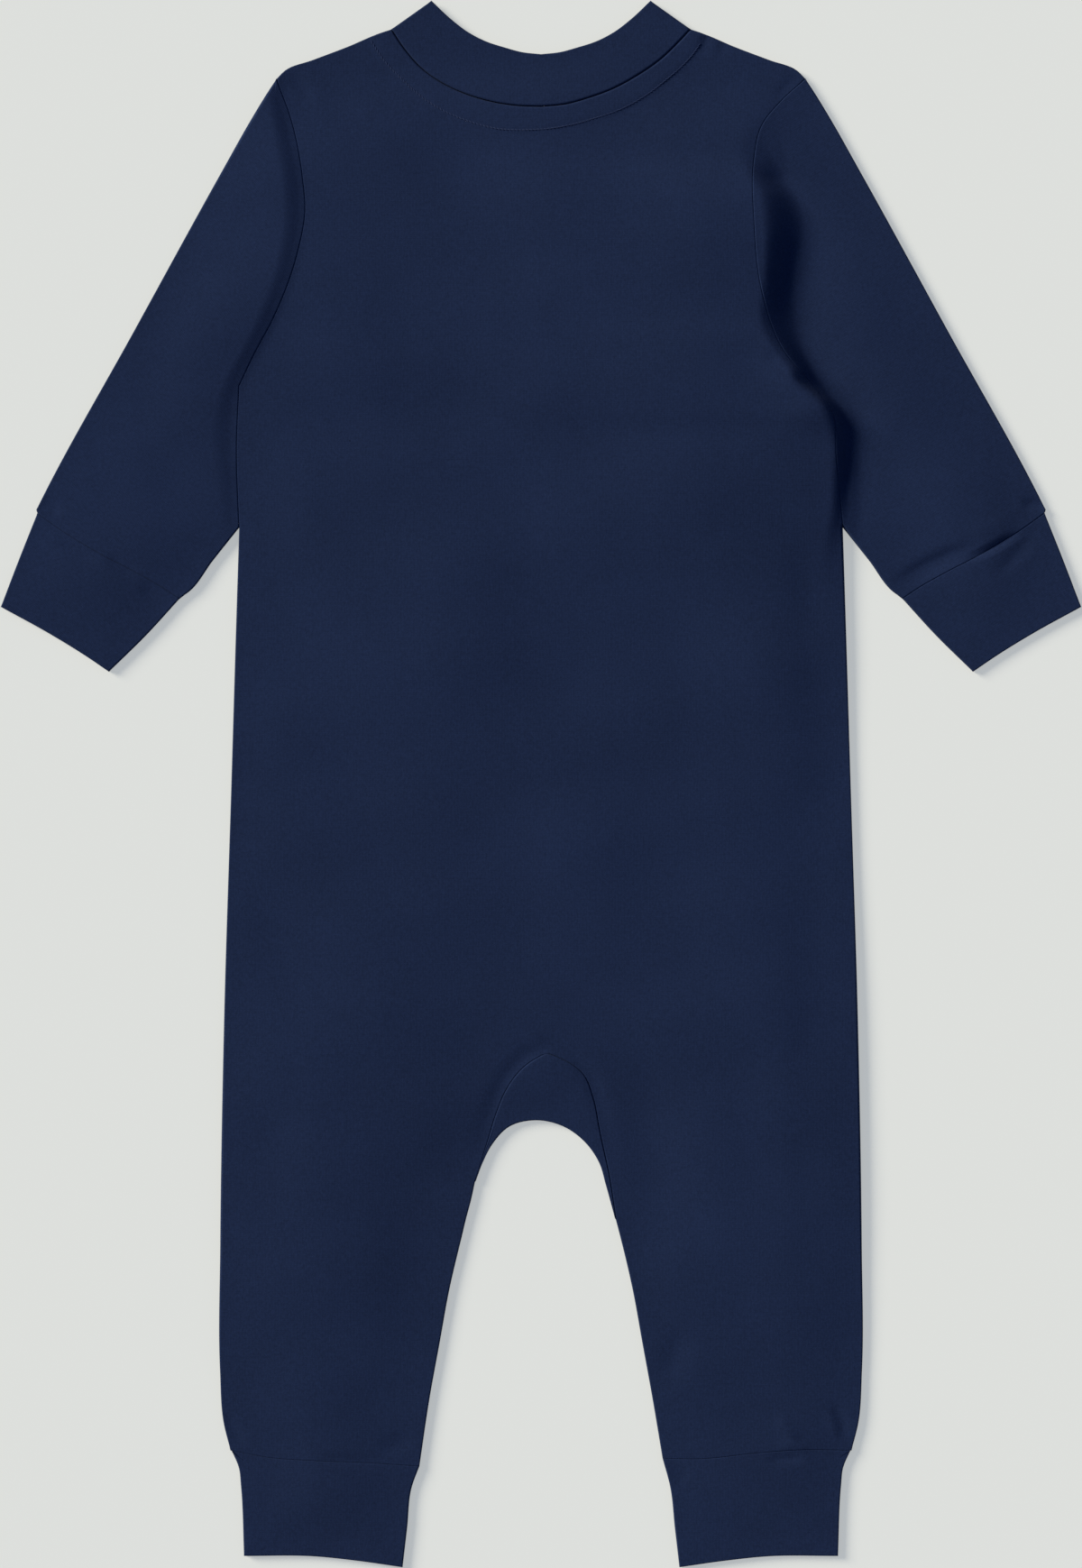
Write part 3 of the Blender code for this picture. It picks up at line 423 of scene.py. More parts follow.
def joined(*lines):
    """Lines end to end, each without its first point after the first line."""
    return np.concatenate([lines[0]] + [line[1:] for line in lines[1:]])


def unit(steps):
    """Steps made one long: each divided by its own length."""
    return steps / np.linalg.norm(steps, axis=1)[:, None]


def beside(line, distance):
    """The line moved sideways by a distance, to the right of its direction."""
    ahead = unit(np.gradient(line, axis=0))
    return line + distance * np.stack([ahead[:, 1], -ahead[:, 0]], axis=1)


def without_repeats(line):
    """The line without the points that stand on the one before."""
    return line[np.append(True, np.abs(np.diff(line, axis=0)).sum(1) > LEAST_STEP)]


def signed_area(line):
    """Twice the area of a closed outline, above zero when it runs anticlockwise."""
    x, y = line.T
    return (x * np.roll(y, -1) - y * np.roll(x, -1)).sum()


def smooth_step(value):
    """From 0 to 1 with level ends: three times the square less twice the cube."""
    t = np.clip(value, 0.0, 1.0)
    return t * t * (3.0 - 2.0 * t)


def ramp(value, start, full):
    """A smooth step from nothing at the start to one at the full value."""
    return smooth_step((value - start) / (full - start))


def mirrored(plan, side):
    """The plan on the wearer's right for side 1, and on the left for side -1."""
    return plan * np.array([side, 1.0])


def coons(inner, outer, top, bottom, u, v):
    """Blend of four edges: opposite edges mixed across and down, less the four corners' mix."""
    u, v = u[None, :, None], v[:, None, None]
    across = (1 - u) * inner[:, None] + u * outer[:, None]
    down = (1 - v) * top[None] + v * bottom[None]
    corners = ((1 - u) * (1 - v) * inner[0] + u * (1 - v) * outer[0]
               + (1 - u) * v * inner[-1] + u * v * outer[-1])
    return across + down - corners


def settled(plan, u, v, rounds):
    """Move each inner point to the mean of its neighbours, weighted by their spacing, again and again."""
    left = ((u[2:] - u[1:-1]) / (u[2:] - u[:-2]))[None, :, None]
    above = ((v[2:] - v[1:-1]) / (v[2:] - v[:-2]))[:, None, None]
    for _ in range(rounds):
        along_row = left * plan[1:-1, :-2] + (1 - left) * plan[1:-1, 2:]
        along_column = above * plan[:-2, 1:-1] + (1 - above) * plan[2:, 1:-1]
        plan[1:-1, 1:-1] = 0.5 * (along_row + along_column)
    return plan


def eased(plan, share):
    """Move each inner point by the inverse Laplace rule, which opens cells that have turned over at a
    hollow edge: the means along and across, each weighted by the other spacing squared, less the skew."""
    for _ in range(EASE_ROUNDS):
        west, east, above, below_it = plan[1:-1, :-2], plan[1:-1, 2:], plan[:-2, 1:-1], plan[2:, 1:-1]
        along, down = 0.5 * (east - west), 0.5 * (below_it - above)
        a, b, c = [(p * q).sum(-1)[..., None] for p, q in ((down, down), (along, down), (along, along))]
        skew = plan[2:, 2:] - plan[:-2, 2:] - plan[2:, :-2] + plan[:-2, :-2]
        moved = (a * (east + west) + c * (above + below_it) - 0.5 * b * skew) / (2.0 * (a + c))
        plan[1:-1, 1:-1] += share * (moved - plan[1:-1, 1:-1])
    return plan


def near(plan, spot, full, none):
    """A share of one near a spot on either half, falling to nothing further off."""
    gap = np.hypot(np.abs(plan[..., 0]) - spot[0], plan[..., 1] - spot[1])
    return 1.0 - ramp(gap, full, none)


def spread(plan, rows, columns):
    """The plan on a finer grid, by straight lines between its points."""
    r = np.linspace(0.0, plan.shape[0] - 1.0, rows)
    c = np.linspace(0.0, plan.shape[1] - 1.0, columns)
    r0 = np.minimum(r.astype(int), plan.shape[0] - 2)
    c0 = np.minimum(c.astype(int), plan.shape[1] - 2)
    fr, fc = (r - r0)[:, None, None], (c - c0)[None, :, None]
    top = (1 - fc) * plan[r0][:, c0] + fc * plan[r0][:, c0 + 1]
    bottom = (1 - fc) * plan[r0 + 1][:, c0] + fc * plan[r0 + 1][:, c0 + 1]
    return (1 - fr) * top + fr * bottom


def spacing(edges):
    """Fractions across and down a net: the mean of those on its facing edges."""
    inner, outer, top, bottom = [fractions_of(line) for line in edges]
    return 0.5 * (top + bottom), 0.5 * (inner + outer)


def fine_plan(coarse_edges, edges, rounds, bend):
    """A settled coarse plan, spread to the fine edges' counts, fitted to them, settled again, and eased
    round the bend of an edge, or all over."""
    u, v = spacing(coarse_edges)
    coarse = settled(coons(*coarse_edges, u, v), u, v, rounds)
    inner, outer, top, bottom = edges
    plan = spread(coarse, len(inner), len(top))
    u, v = spacing(edges)
    plan += coons(inner - plan[:, 0], outer - plan[:, -1], top - plan[0], bottom - plan[-1], u, v)
    plan = settled(plan, u, v, rounds)
    if rounds < SETTLE_ROUNDS:
        return plan
    return eased(plan, near(plan[1:-1, 1:-1], bend, BEND_FULL, BEND_NONE)[..., None] if bend else 1.0)


def distance_to(points, line):
    """Signed distance from each point to a line (right of it above zero), and the fraction along it."""
    line = without_repeats(line)
    start, span = line[:-1], np.diff(line, axis=0)
    offset = points[..., None, :] - start
    t = np.clip((offset * span).sum(-1) / (span**2).sum(-1), 0.0, 1.0)
    apart = offset - t[..., None] * span
    gap = np.linalg.norm(apart, axis=-1)
    nearest = gap.argmin(-1)[..., None]
    fraction = (nearest + np.take_along_axis(t, nearest, -1))[..., 0] / len(span)
    turn = np.take_along_axis(span[:, 1] * apart[..., 0] - span[:, 0] * apart[..., 1], nearest, -1)[..., 0]
    return np.where(turn < 0.0, -1.0, 1.0) * gap.min(-1), fraction


# ---------------------------------------------------------------- edges of the pieces

ARMHOLE = {-1: LEFT_ARMHOLE, 1: RIGHT_ARMHOLE}
UNDERARM = {-1: LEFT_UNDERARM, 1: RIGHT_UNDERARM}
ANKLE = {-1: LEFT_ANKLE, 1: RIGHT_ANKLE}


def half_of(left, top, right, side):
    """One half, from the top to the tip, of a smooth curve that runs over the middle from tip to tip."""
    line = smooth([Point(-p.out, p.up) for p in left[::-1]] + [top] + list(right))
    cut = np.linalg.norm(line - top, axis=1).argmin()
    line[cut] = top
    return line[cut:] if side > 0 else mirrored(line[:cut + 1][::-1], -1)


def arc(side):
    """The gusset seam from its top to its tip; the top lies to the right of the middle."""
    return half_of(LEFT_ARC, ARC_TOP, RIGHT_ARC, side)


def crotch(side):
    """The crotch edge from its top to its tip; the top lies to the left of the middle."""
    return half_of(LEFT_CROTCH, CROTCH_TOP, RIGHT_CROTCH, side)


def inseam(side):
    """The inner leg from the gusset's tip to the ankle seam."""
    tip = (RIGHT_ARC if side > 0 else LEFT_ARC)[-1]
    end = ANKLE[side][0]
    below = tuple(row for row in INSEAM if end.up + INSEAM_ABOVE_ANKLE < row.up < tip.up - INSEAM_BELOW_TIP)
    start = (tip, LEFT_INSEAM_START) if side < 0 else (tip,)
    return start + below + (end,)


def outline(side):
    """Every edge where the two layers meet, as lines from corner to corner, with the underarm's slit."""
    runs = ((COLLAR_TOP,), ((COLLAR_TOP[-1], SHOULDER[0]), SHOULDER, SLEEVE_TOP, WRIST_OUTER), (WRIST_HEM,),
            (WRIST_INNER[::-1], SLEEVE_UNDER[::-1]), (UNDERARM[side], SIDE_SEAM, ANKLE_OUTER), (ANKLE_HEM,))
    lines = [np.concatenate([evenly(row, EDGE_SPANS) for row in run]) for run in runs]
    lines.append(np.concatenate([spaced(crotch(side), EDGE_SPANS), evenly(inseam(side), EDGE_SPANS),
                                 evenly(ANKLE_INNER, EDGE_SPANS)]))
    return [mirrored(line, side) for line in lines]


LEFT_OUTLINE, RIGHT_OUTLINE = outline(-1), outline(1)
JOINED_ENDS = (0, len(RIGHT_OUTLINE) - 1)
OUTLINE = [np.concatenate([LEFT_OUTLINE[k][::-1], RIGHT_OUTLINE[k]]) for k in JOINED_ENDS]
OUTLINE += LEFT_OUTLINE[1:-1] + RIGHT_OUTLINE[1:-1]


def back_neck(side, count):
    """The back neck seam from the middle to the shoulder, in equal spans."""
    rows = [Point(row.out, row.right if side > 0 else row.left) for row in BACK_NECK]
    return evenly(rows, count)


def arm_edge(side, k):
    """Armhole seam and underarm crease, from the shoulder tip to the notch."""
    return joined(evenly(ARMHOLE[side], ARMHOLE_ROWS * k), evenly(UNDERARM[side], UNDERARM_ROWS * k))


def front_neck_fractions(columns):
    """Fractions along the front's neck: each of its steps split evenly into columns."""
    return np.interp(np.linspace(0, FRONT_NECK_COLUMNS, FRONT_NECK_COLUMNS * columns + 1),
                     range(FRONT_NECK_COLUMNS + 1), FRONT_NECK_STEPS)


def outer_edge(side, k):
    """Back and front edge from the shoulder tip along armhole, underarm and side seam."""
    return joined(arm_edge(side, k), evenly(SIDE_SEAM, SIDE_ROWS * k))


def back_edges(side, split):
    """Inner, outer, top and bottom edge of one half of the back."""
    k, j = split
    centre = evenly((Point(0.0, BACK_NECK[0].left), Point(side * ARC_TOP.out, ARC_TOP.up)), CENTRE_ROWS * k)
    inner = joined(centre, spaced(arc(side), ARC_ROWS * k), evenly(inseam(side), INSEAM_ROWS * k))
    top = joined(back_neck(side, NECK_COLUMNS * j), evenly(SHOULDER, SHOULDER_COLUMNS * j))
    bottom = evenly(ANKLE[side], HALF_COLUMNS * j)
    return [mirrored(line, side) for line in (inner, outer_edge(side, k), top, bottom)]


def front_edges(side, split):
    """Inner edge (zip, closing seam, gusset arc, inseam), outer, top and bottom edge of one front."""
    k, j = split
    closed, arc_top = Point(side * CLOSED.out, CLOSED.up), Point(side * ARC_TOP.out, ARC_TOP.up)
    edge = joined(evenly((FRONT_NECK[0], ZIP_FOOT[0]), (CENTRE_ROWS - ZIP_CLOSE_SPANS) * k),
                  evenly(ZIP_FOOT + (closed,), k), evenly((closed, arc_top), (ZIP_CLOSE_SPANS - 1) * k))
    inner = joined(edge, spaced(arc(side), ARC_ROWS * k), evenly(inseam(side), INSEAM_ROWS * k))
    neck = at(smooth(FRONT_NECK), front_neck_fractions(j))
    top = joined(neck, evenly(SHOULDER, FRONT_SHOULDER_COLUMNS * j))
    bottom = evenly(ANKLE[side], len(top) - 1)
    return [mirrored(line, side) for line in (inner, outer_edge(side, k), top, bottom)]


def sleeve_edges(side, split):
    """Edges of the flat sleeve; its mouth runs along the start and the first part of the inner edge."""
    k, j = split
    seam = beside(arm_edge(side, k), -SEAM_GAP)
    upper = SLEEVE_COLUMNS * k
    start = spaced(seam[:upper + 1][::-1], SLEEVE_COLUMNS * j)
    inner = joined(seam[upper:], evenly(SLEEVE_UNDER, WRIST_ROWS * k))
    outer = evenly(SLEEVE_TOP, len(inner) - 1)
    start[-1] = outer[0] = outer[0] + np.array([SEAM_GAP, -SEAM_GAP])
    wrist = spaced(np.concatenate([SLEEVE_UNDER[-1:], smooth(WRIST_SEAM), SLEEVE_TOP[-1:]]),
                   SLEEVE_COLUMNS * j)
    return [mirrored(line, side) for line in (inner, outer, start, wrist)]


def cuff_edges(side, rows, top, inner, outer, hem):
    """Edges of a cuff: both ends, each from its corner of the seam to the hem, the seam and the hem."""
    corners = ((top[0], inner), (top[-1], outer))
    ends = [evenly((Point(*corner),) + line[1:], rows) for corner, line in corners]
    return [mirrored(line, side) for line in (*ends, top, evenly(hem, len(top) - 1))]


def wrist_cuff_edges(side, split):
    """Edges of a wrist cuff, a seam's gap below the sleeve."""
    top = beside(evenly(WRIST_SEAM, SLEEVE_COLUMNS * split.columns), SEAM_GAP)
    return cuff_edges(side, CUFF_ROWS * split.rows, top, WRIST_INNER, WRIST_OUTER, WRIST_HEM)


def ankle_cuff_edges(side, split):
    """Edges of an ankle cuff, a seam's gap below the leg."""
    top = beside(evenly(ANKLE[side], HALF_COLUMNS * split.columns), SEAM_GAP)
    top[:, 0] = np.minimum(top[:, 0], ANKLE_CORNER)
    return cuff_edges(side, CUFF_ROWS * split.rows, top, ANKLE_INNER, ANKLE_OUTER, ANKLE_HEM)


def collar_fold(split):
    """The collar's folded end, from its top corner down to the neck seam."""
    foot = np.array(SHOULDER[0]) + np.array([-SEAM_GAP, SEAM_GAP])
    return spaced([COLLAR_TOP[-1], foot], split.rows)


def back_collar_edges(split):
    """Left fold, right fold, top edge and neck seam of the collar's back."""
    fold = collar_fold(split)
    count = NECK_COLUMNS * split.columns
    halves = []
    for side in (-1, 1):
        seam = beside(back_neck(side, count), -NECK_GAP)
        seam[0, 0] = 0.0
        seam[-1] = fold[-1]
        halves.append((mirrored(evenly(COLLAR_TOP, count), side), mirrored(seam, side)))
    top, bottom = [joined(halves[0][k][::-1], halves[1][k]) for k in (0, 1)]
    return [mirrored(fold, -1), fold, top, bottom]


def front_collar_edges(side, split):
    """Zip end, fold, top edge and neck seam of the collar's front on one side."""
    fold = collar_fold(split)
    fractions = front_neck_fractions(split.columns)
    top = at(smooth(FRONT_COLLAR_TOP), fractions)
    bottom = beside(at(smooth(FRONT_NECK), fractions), -SEAM_GAP)
    bottom[0, 0] = FRONT_EDGE
    bottom[-1] = fold[-1]
    end = spaced([top[0], bottom[0]], split.rows)
    return [mirrored(line, side) for line in (end, fold, top, bottom)]


def gusset_edges(split):
    """Left tip, right tip, arc seam and crotch edge of the gusset."""
    count = ARC_ROWS * split.rows
    arc_line, edge = [joined(mirrored(spaced(half(-1), count), -1)[::-1], spaced(half(1), count))
                      for half in (arc, crotch)]
    seam = beside(arc_line, SEAM_GAP)
    ends = [spaced([seam[k], edge[k]], 2 * split.columns) for k in (0, -1)]
    return [*ends, seam, edge]


# ---------------------------------------------------------------- height of the cloth

def wave_field(plan, waves):
    """Sum of plane waves of seeded lengths, directions and starts."""
    draw = np.random.default_rng(waves.seed)
    length = draw.uniform(waves.shortest, waves.longest, waves.count)
    turn = draw.uniform(0.0, np.pi, waves.count)
    start = draw.uniform(0.0, 2.0 * np.pi, waves.count)
    phase = (plan[..., :1] * np.cos(turn) + plan[..., 1:] * np.sin(turn)) * 2.0 * np.pi / length + start
    return waves.size * np.sin(phase).sum(-1)


def crease_field(plan, creases):
    """Sum of creases: depth times a bell across the route, fading to nothing at both its ends."""
    total = np.zeros(plan.shape[:-1])
    for crease in creases:
        route = evenly(crease.route, CREASE_SPANS)
        reach = BELL_REACH * max(crease.right, crease.left)
        close = ((plan > route.min(0) - reach) & (plan < route.max(0) + reach)).all(-1)
        gap, fraction = distance_to(plan[close], route)
        width = np.where(gap > 0.0, crease.right, crease.left)
        ends = smooth_step(fraction / CREASE_END) * smooth_step((1.0 - fraction) / CREASE_END)
        total[close] += crease.depth * ends * np.exp(-(gap / width)**2)
    return total


def by_height(plan, rows):
    """Each column of a table after the first, read at every point's height up the garment."""
    line = evenly(rows[::-1], HEIGHT_SPANS)
    return [np.interp(plan[..., 1], line[:, 0], line[:, k]) for k in range(1, line.shape[1])]


def swell_field(plan, rows):
    """A long swell: full height on its crest, a soft step down on both sides."""
    crest, height, left, right = by_height(plan, rows)
    beyond = plan[..., 0] - crest
    return height * smooth_step(1.0 - np.where(beyond < 0.0, -beyond / left, beyond / right))


def hollowed(plan, level, bottom, rows):
    """The level with a swell on the left of a hollow, sunk towards the bottom on its lowest line: a soft
    step on the left, a flat floor and then the square of the distance on the right."""
    out, share, left, right, crest, swell, reach, floor = by_height(plan, rows)
    beyond = plan[..., 0] - out
    level = level + (swell * smooth_step(1.0 + (plan[..., 0] - crest) / reach)
                     * (1.0 - smooth_step(0.5 + beyond / (HOLLOW_BLEND + HOLLOW_SOFT * (1.0 - share)))))
    past_floor = np.maximum(beyond - np.maximum(floor, 0.0), 0.0)
    sunk = share * np.where(beyond < 0.0, smooth_step(1.0 + beyond / left),
                            np.clip(1.0 - past_floor / right, 0.0, 1.0)**2)
    return level - sunk * np.maximum(level - bottom, 0.0)


def edge_distance(plan):
    """Soft least distance to the edges where the two layers meet: the inverse cubes of the distances
    summed, and the cube root of their inverse."""
    total = np.zeros(plan.shape[:-1])
    for line in OUTLINE:
        total += np.maximum(np.abs(distance_to(plan, line)[0]), LEAST_DISTANCE)**-3.0
    return total**(-1.0 / 3.0)


def zip_level(up):
    """Height of the tapes' underside, which the slider lifts near the collar."""
    return TAPE_LOW + (SLIDER_LIFT - TAPE_LOW) * ramp(up, LIFT_START, LIFT_FULL)


def lower_level(plan, thickness):
    """Underside of the lower layer: on the surface but for its creases, and lifted to the zip's tapes."""
    away = smooth_step(edge_distance(plan) / CALM_REACH)
    lift = away * np.maximum(crease_field(plan, LOWER_CREASES) + wave_field(plan, LOWER_WAVES), 0.0)
    beside_zip = 1.0 - smooth_step((np.abs(plan[..., 0]) - TAPE_REACH) / LIFT_FADE)
    over_zip = (beside_zip * smooth_step((plan[..., 1] - LIFT_START + LIFT_EASE) / LIFT_EASE)
                * (1.0 - smooth_step((plan[..., 1] - LIFT_END) / LIFT_FALL)))
    room = np.maximum(zip_level(plan[..., 1]) - TAPE_CLEAR - thickness, 0.0)
    near_zip = (plan[..., 1] > ZIP_END - CALM_BELOW_ZIP) * beside_zip
    return lift * (1.0 - near_zip) + room * over_zip


def neck_band(plan):
    """The seam allowance under the band between the neck seam and its row of stitching."""
    gap = distance_to(plan, evenly(NECK_STITCHING, BAND_SPANS))[0]
    inside = smooth_step(0.5 - gap / BAND_EDGE)
    return BAND_HEIGHT * inside * (plan[..., 1] > BAND_FROM)


def slider_room(plan):
    """A wide low swell over the slider: a bell across, soft steps below it and above the neck seam."""
    across = np.exp(-(plan[..., 0] / SLIDER_ROOM_REACH)**2)
    along = ramp(plan[..., 1], *SLIDER_ROOM_RISE) * (1.0 - ramp(plan[..., 1], *SLIDER_ROOM_FALL))
    return SLIDER_ROOM * across * along


def upper_level(plan, thickness):
    """Top of the upper layer: its edge height, a rise away from the outline, less the creases. It rests
    softly on what lies below: half the height over that, plus half the root of its square and a little."""
    inside = edge_distance(plan)
    bottom = lower_level(plan, CLOTH) + 2.0 * thickness + LAYER_ROOM
    level = EDGE_HEIGHT + RISE * smooth_step(inside / RISE_REACH) + swell_field(plan, LEFT_SWELL)
    level = hollowed(plan, level, bottom, RIGHT_HOLLOW)
    level += neck_band(plan) + slider_room(plan) - crease_field(plan, UPPER_CREASES)
    level += smooth_step(inside / WAVE_REACH) * wave_field(plan, UPPER_WAVES)
    over = level - bottom
    return bottom + 0.5 * (over + np.sqrt(over**2 + LAYER_BLEND))


# ---------------------------------------------------------------- shells

def border(grid, start_row=0):
    """Numbers round a block: along the top, down the outer edge, along the bottom, up the inner edge."""
    return np.concatenate([grid[0, :-1], grid[:-1, -1], grid[-1, :0:-1], grid[:start_row:-1, 0]])


def inward(line):
    """Steps from a closed outline into its inside: mitred normals, for either direction of travel."""
    ahead = unit(np.roll(line, -1, axis=0) - line)
    turned = np.stack([-ahead[:, 1], ahead[:, 0]], axis=1)
    before = np.roll(turned, 1, axis=0)
    mitre = (turned + before) / np.maximum(1.0 + (turned * before).sum(1), LEAST_MITRE)[:, None]
    return np.sign(signed_area(line)) * mitre


def tucked(line, inset):
    """The inset line with its points slid along it near sharp ends, so that they keep their order: the
    slide falls from the corner's own shift to nothing over four times that length."""
    along = np.concatenate([[0.0], np.cumsum(np.linalg.norm(np.diff(line, axis=0), axis=1))])
    slid = along.copy()
    for end, ahead, sign in ((0, line[1] - line[0], 1.0), (-1, line[-2] - line[-1], -1.0)):
        shift = (inset[end] - line[end]) @ ahead / np.linalg.norm(ahead)
        if shift > 0.0:
            zone = min(TUCK_REACH * shift, 0.5 * along[-1])
            slid += sign * shift * np.clip(1.0 - np.abs(along - along[end]) / zone, 0.0, 1.0)
    offset = inset - line
    offset[0], offset[-1] = offset[1], offset[-2]
    place = np.stack([np.interp(slid, along, (line + offset)[:, axis]) for axis in (0, 1)], axis=1)
    place[0], place[-1] = inset[0], inset[-1]
    return place


def tucked_between_corners(line, inset):
    """The same for a line with corners of its own, one stretch after another."""
    ahead = unit(np.diff(line, axis=0))
    corners = 1 + np.nonzero((ahead[1:] * ahead[:-1]).sum(1) < CORNER_COSINE)[0]
    ends = [0, *corners, len(line) - 1]
    return joined(*[tucked(line[a:b + 1], inset[a:b + 1]) for a, b in zip(ends[:-1], ends[1:])])


Net = namedtuple("Net", "points faces loop seam step rim kind")


def quads_of(grid):
    """The four numbers round each cell of a grid."""
    return np.stack([grid[:-1, :-1], grid[:-1, 1:], grid[1:, 1:], grid[1:, :-1]], axis=-1).reshape(-1, 4)


def upright(place, quads):
    """The quads in the order that goes anticlockwise over most of them."""
    across, up = place[quads[:, 2]] - place[quads[:, 0]], place[quads[:, 3]] - place[quads[:, 1]]
    return quads if (across[:, 0] * up[:, 1] - across[:, 1] * up[:, 0]).sum() > 0.0 else quads[:, ::-1]


def kind_rows(split, *pairs):
    """Edge kinds for the points of a line, from (kind, span count) pairs, each span split further."""
    rows = [kind for kind, count in pairs for _ in range(count * split)]
    return np.array(rows + rows[-1:], dtype=float)


def plain_kinds(edges, *kinds):
    """Edge kinds for a block that has one kind along each of its four edges."""
    return [kind_rows(1, (kind, len(line) - 1)) for kind, line in zip(kinds, edges)]


def loop_line(edges):
    """The closed line round a block: top, outer, bottom and inner edge."""
    inner, outer, top, bottom = edges
    return np.concatenate([top[:-1], outer[:-1], bottom[:0:-1], inner[:0:-1]])


def sides_of(grid):
    """Inner, outer, top and bottom line of a grid."""
    return grid[:, 0], grid[:, -1], grid[0], grid[-1]


def net(blocks, kinds, rim, shared=0, rounds=0, bend=None):
    """Number, inset and settle one block, or two that share an inner line down to a row.

    Each block is (coarse edges, fine edges); each entry of kinds has the edge kinds of its inner,
    outer, top and bottom line. The grid ends a rim's width inside the edge.
    """
    grids, count = [], 0
    for _, (inner, _, top, _) in blocks:
        grid = count + np.arange(len(inner) * len(top)).reshape(len(inner), len(top))
        count += grid.size
        if grids:
            grid[:shared + 1, 0] = grids[0][:shared + 1, 0]
        grids.append(grid)
    place = np.zeros((count, 2))
    kind = np.zeros((count, 4))
    for grid, (_, edges), block_kinds in zip(grids, blocks, kinds):
        for part, line, rows in zip(sides_of(grid), edges, block_kinds):
            place[part] = line
            kind[part] = rows
    loop = border(grids[0], shared)
    if len(grids) > 1:
        loop = np.concatenate([loop, grids[0][shared:shared + 1, 0], border(grids[1], shared)[::-1][:-1]])
    seam = place[loop]
    step = inward(seam)
    rim = np.broadcast_to(rim, len(loop))
    place[loop] = seam + rim[:, None] * step
    for grid, (coarse, fine) in zip(grids, blocks):
        for part, line in zip((grid[shared:, 0], *sides_of(grid)[1:]), (fine[0][shared:], *fine[1:])):
            place[part] = tucked_between_corners(line, place[part])
        if shared:
            place[grid[:shared + 1, 0]] = np.linspace(place[grid[0, 0]], place[grid[shared, 0]], shared + 1)
        place[grid] = fine_plan(coarse, [place[part] for part in sides_of(grid)], rounds, bend)
    faces = np.concatenate([upright(place, quads_of(grid)) for grid in grids])
    if signed_area(seam) < 0:
        loop, seam, step, rim = loop[::-1], seam[::-1], step[::-1], rim[::-1]
    used, faces_used = np.unique(faces, return_inverse=True)
    renumber = np.full(count, -1)
    renumber[used] = np.arange(len(used))
    return Net(place[used], faces_used.reshape(faces.shape), renumber[loop], seam, step, rim, kind[loop])


def layer(flat, level, thickness, sign, middle, lip=0.0):
    """One layer of cloth as points and faces: outer skin, rolled rim, cut edge, inner skin.

    level gives the outer skin's height over the plan. Across the rim the outer skin follows a
    quarter round: inset = reach x (1 - sin), fall = drop x (1 - cos). An edge that meets the other
    layer ends at the middle height; another ends its own thickness below the skin.
    """
    roll, under = flat.kind[:, 0], flat.kind[:, 1]
    meets, welded = flat.kind[:, 2] > 0.5, flat.kind[:, 3] > 0.5
    gap = np.where(welded, 0.0, 0.5 * SIDE_GAP)
    edge_level = level(flat.seam)
    to_middle = np.abs(edge_level - middle) - gap
    drop = np.where(meets, to_middle, roll)
    foot = np.where(meets, middle + sign * gap, edge_level - sign * np.maximum(thickness, roll + under))
    reach = np.minimum(np.where(meets, EDGE_ROUND * drop, drop), RIM_SHARE * flat.rim)
    foot_in = np.where(meets, np.minimum(thickness, RIM_SHARE * flat.rim), under)
    turns = np.radians(ROLL_TURNS)
    insets = [np.minimum(reach + HOLDING_RING, RING_SHARE * flat.rim), reach]
    insets += [reach * (1.0 - np.sin(a)) for a in turns]
    falls = [0.0 * drop - lip * ~meets] * 2 + [drop * (1.0 - np.cos(a)) for a in turns]
    rings = []
    for inset, fall in zip(insets, falls):
        plan = flat.seam + inset[:, None] * flat.step
        rings.append(np.column_stack([plan, level(plan) - sign * fall]))
    rings.append(np.column_stack([flat.seam + (CUT_ROUND * under + CUT_TUCK * foot_in)[:, None] * flat.step,
                                  foot + sign * CUT_ROUND * under * ~meets]))
    rings.append(np.column_stack([flat.seam + foot_in[:, None] * flat.step, foot]))
    skin = level(flat.points)
    count, around = len(flat.points), len(flat.loop)
    points = np.concatenate([np.column_stack([flat.points, skin])] + rings
                            + [np.column_stack([flat.points, skin - sign * thickness])])
    numbers = [flat.loop] + [count + k * around + np.arange(around) for k in range(len(rings))]
    last = count + len(rings) * around
    numbers.append(last + flat.loop)
    faces = [flat.faces, flat.faces[:, ::-1] + last]
    both_welded = welded & np.roll(welded, -1)
    for k, (here, there) in enumerate(zip(numbers[:-1], numbers[1:])):
        strip = np.stack([here, there, np.roll(there, -1), np.roll(here, -1)], axis=-1)
        is_foot = k in (len(rings) - 2, len(rings) - 1)
        faces.append(strip[~both_welded] if is_foot else strip)
    faces = np.concatenate(faces)
    return points, faces if sign > 0 else faces[:, ::-1]


def welded_together(parts):
    """Parts put together, with points at the same place made one and unused points left out."""
    points = np.concatenate([part[0] for part in parts])
    starts = np.cumsum([0] + [len(part[0]) for part in parts[:-1]])
    faces = np.concatenate([part[1] + start for part, start in zip(parts, starts)])
    _, first, same = np.unique(np.round(points, 4), axis=0, return_index=True, return_inverse=True)
    faces = same.reshape(-1)[faces]
    used, faces_used = np.unique(faces, return_inverse=True)
    return points[first[used]], faces_used.reshape(faces.shape)


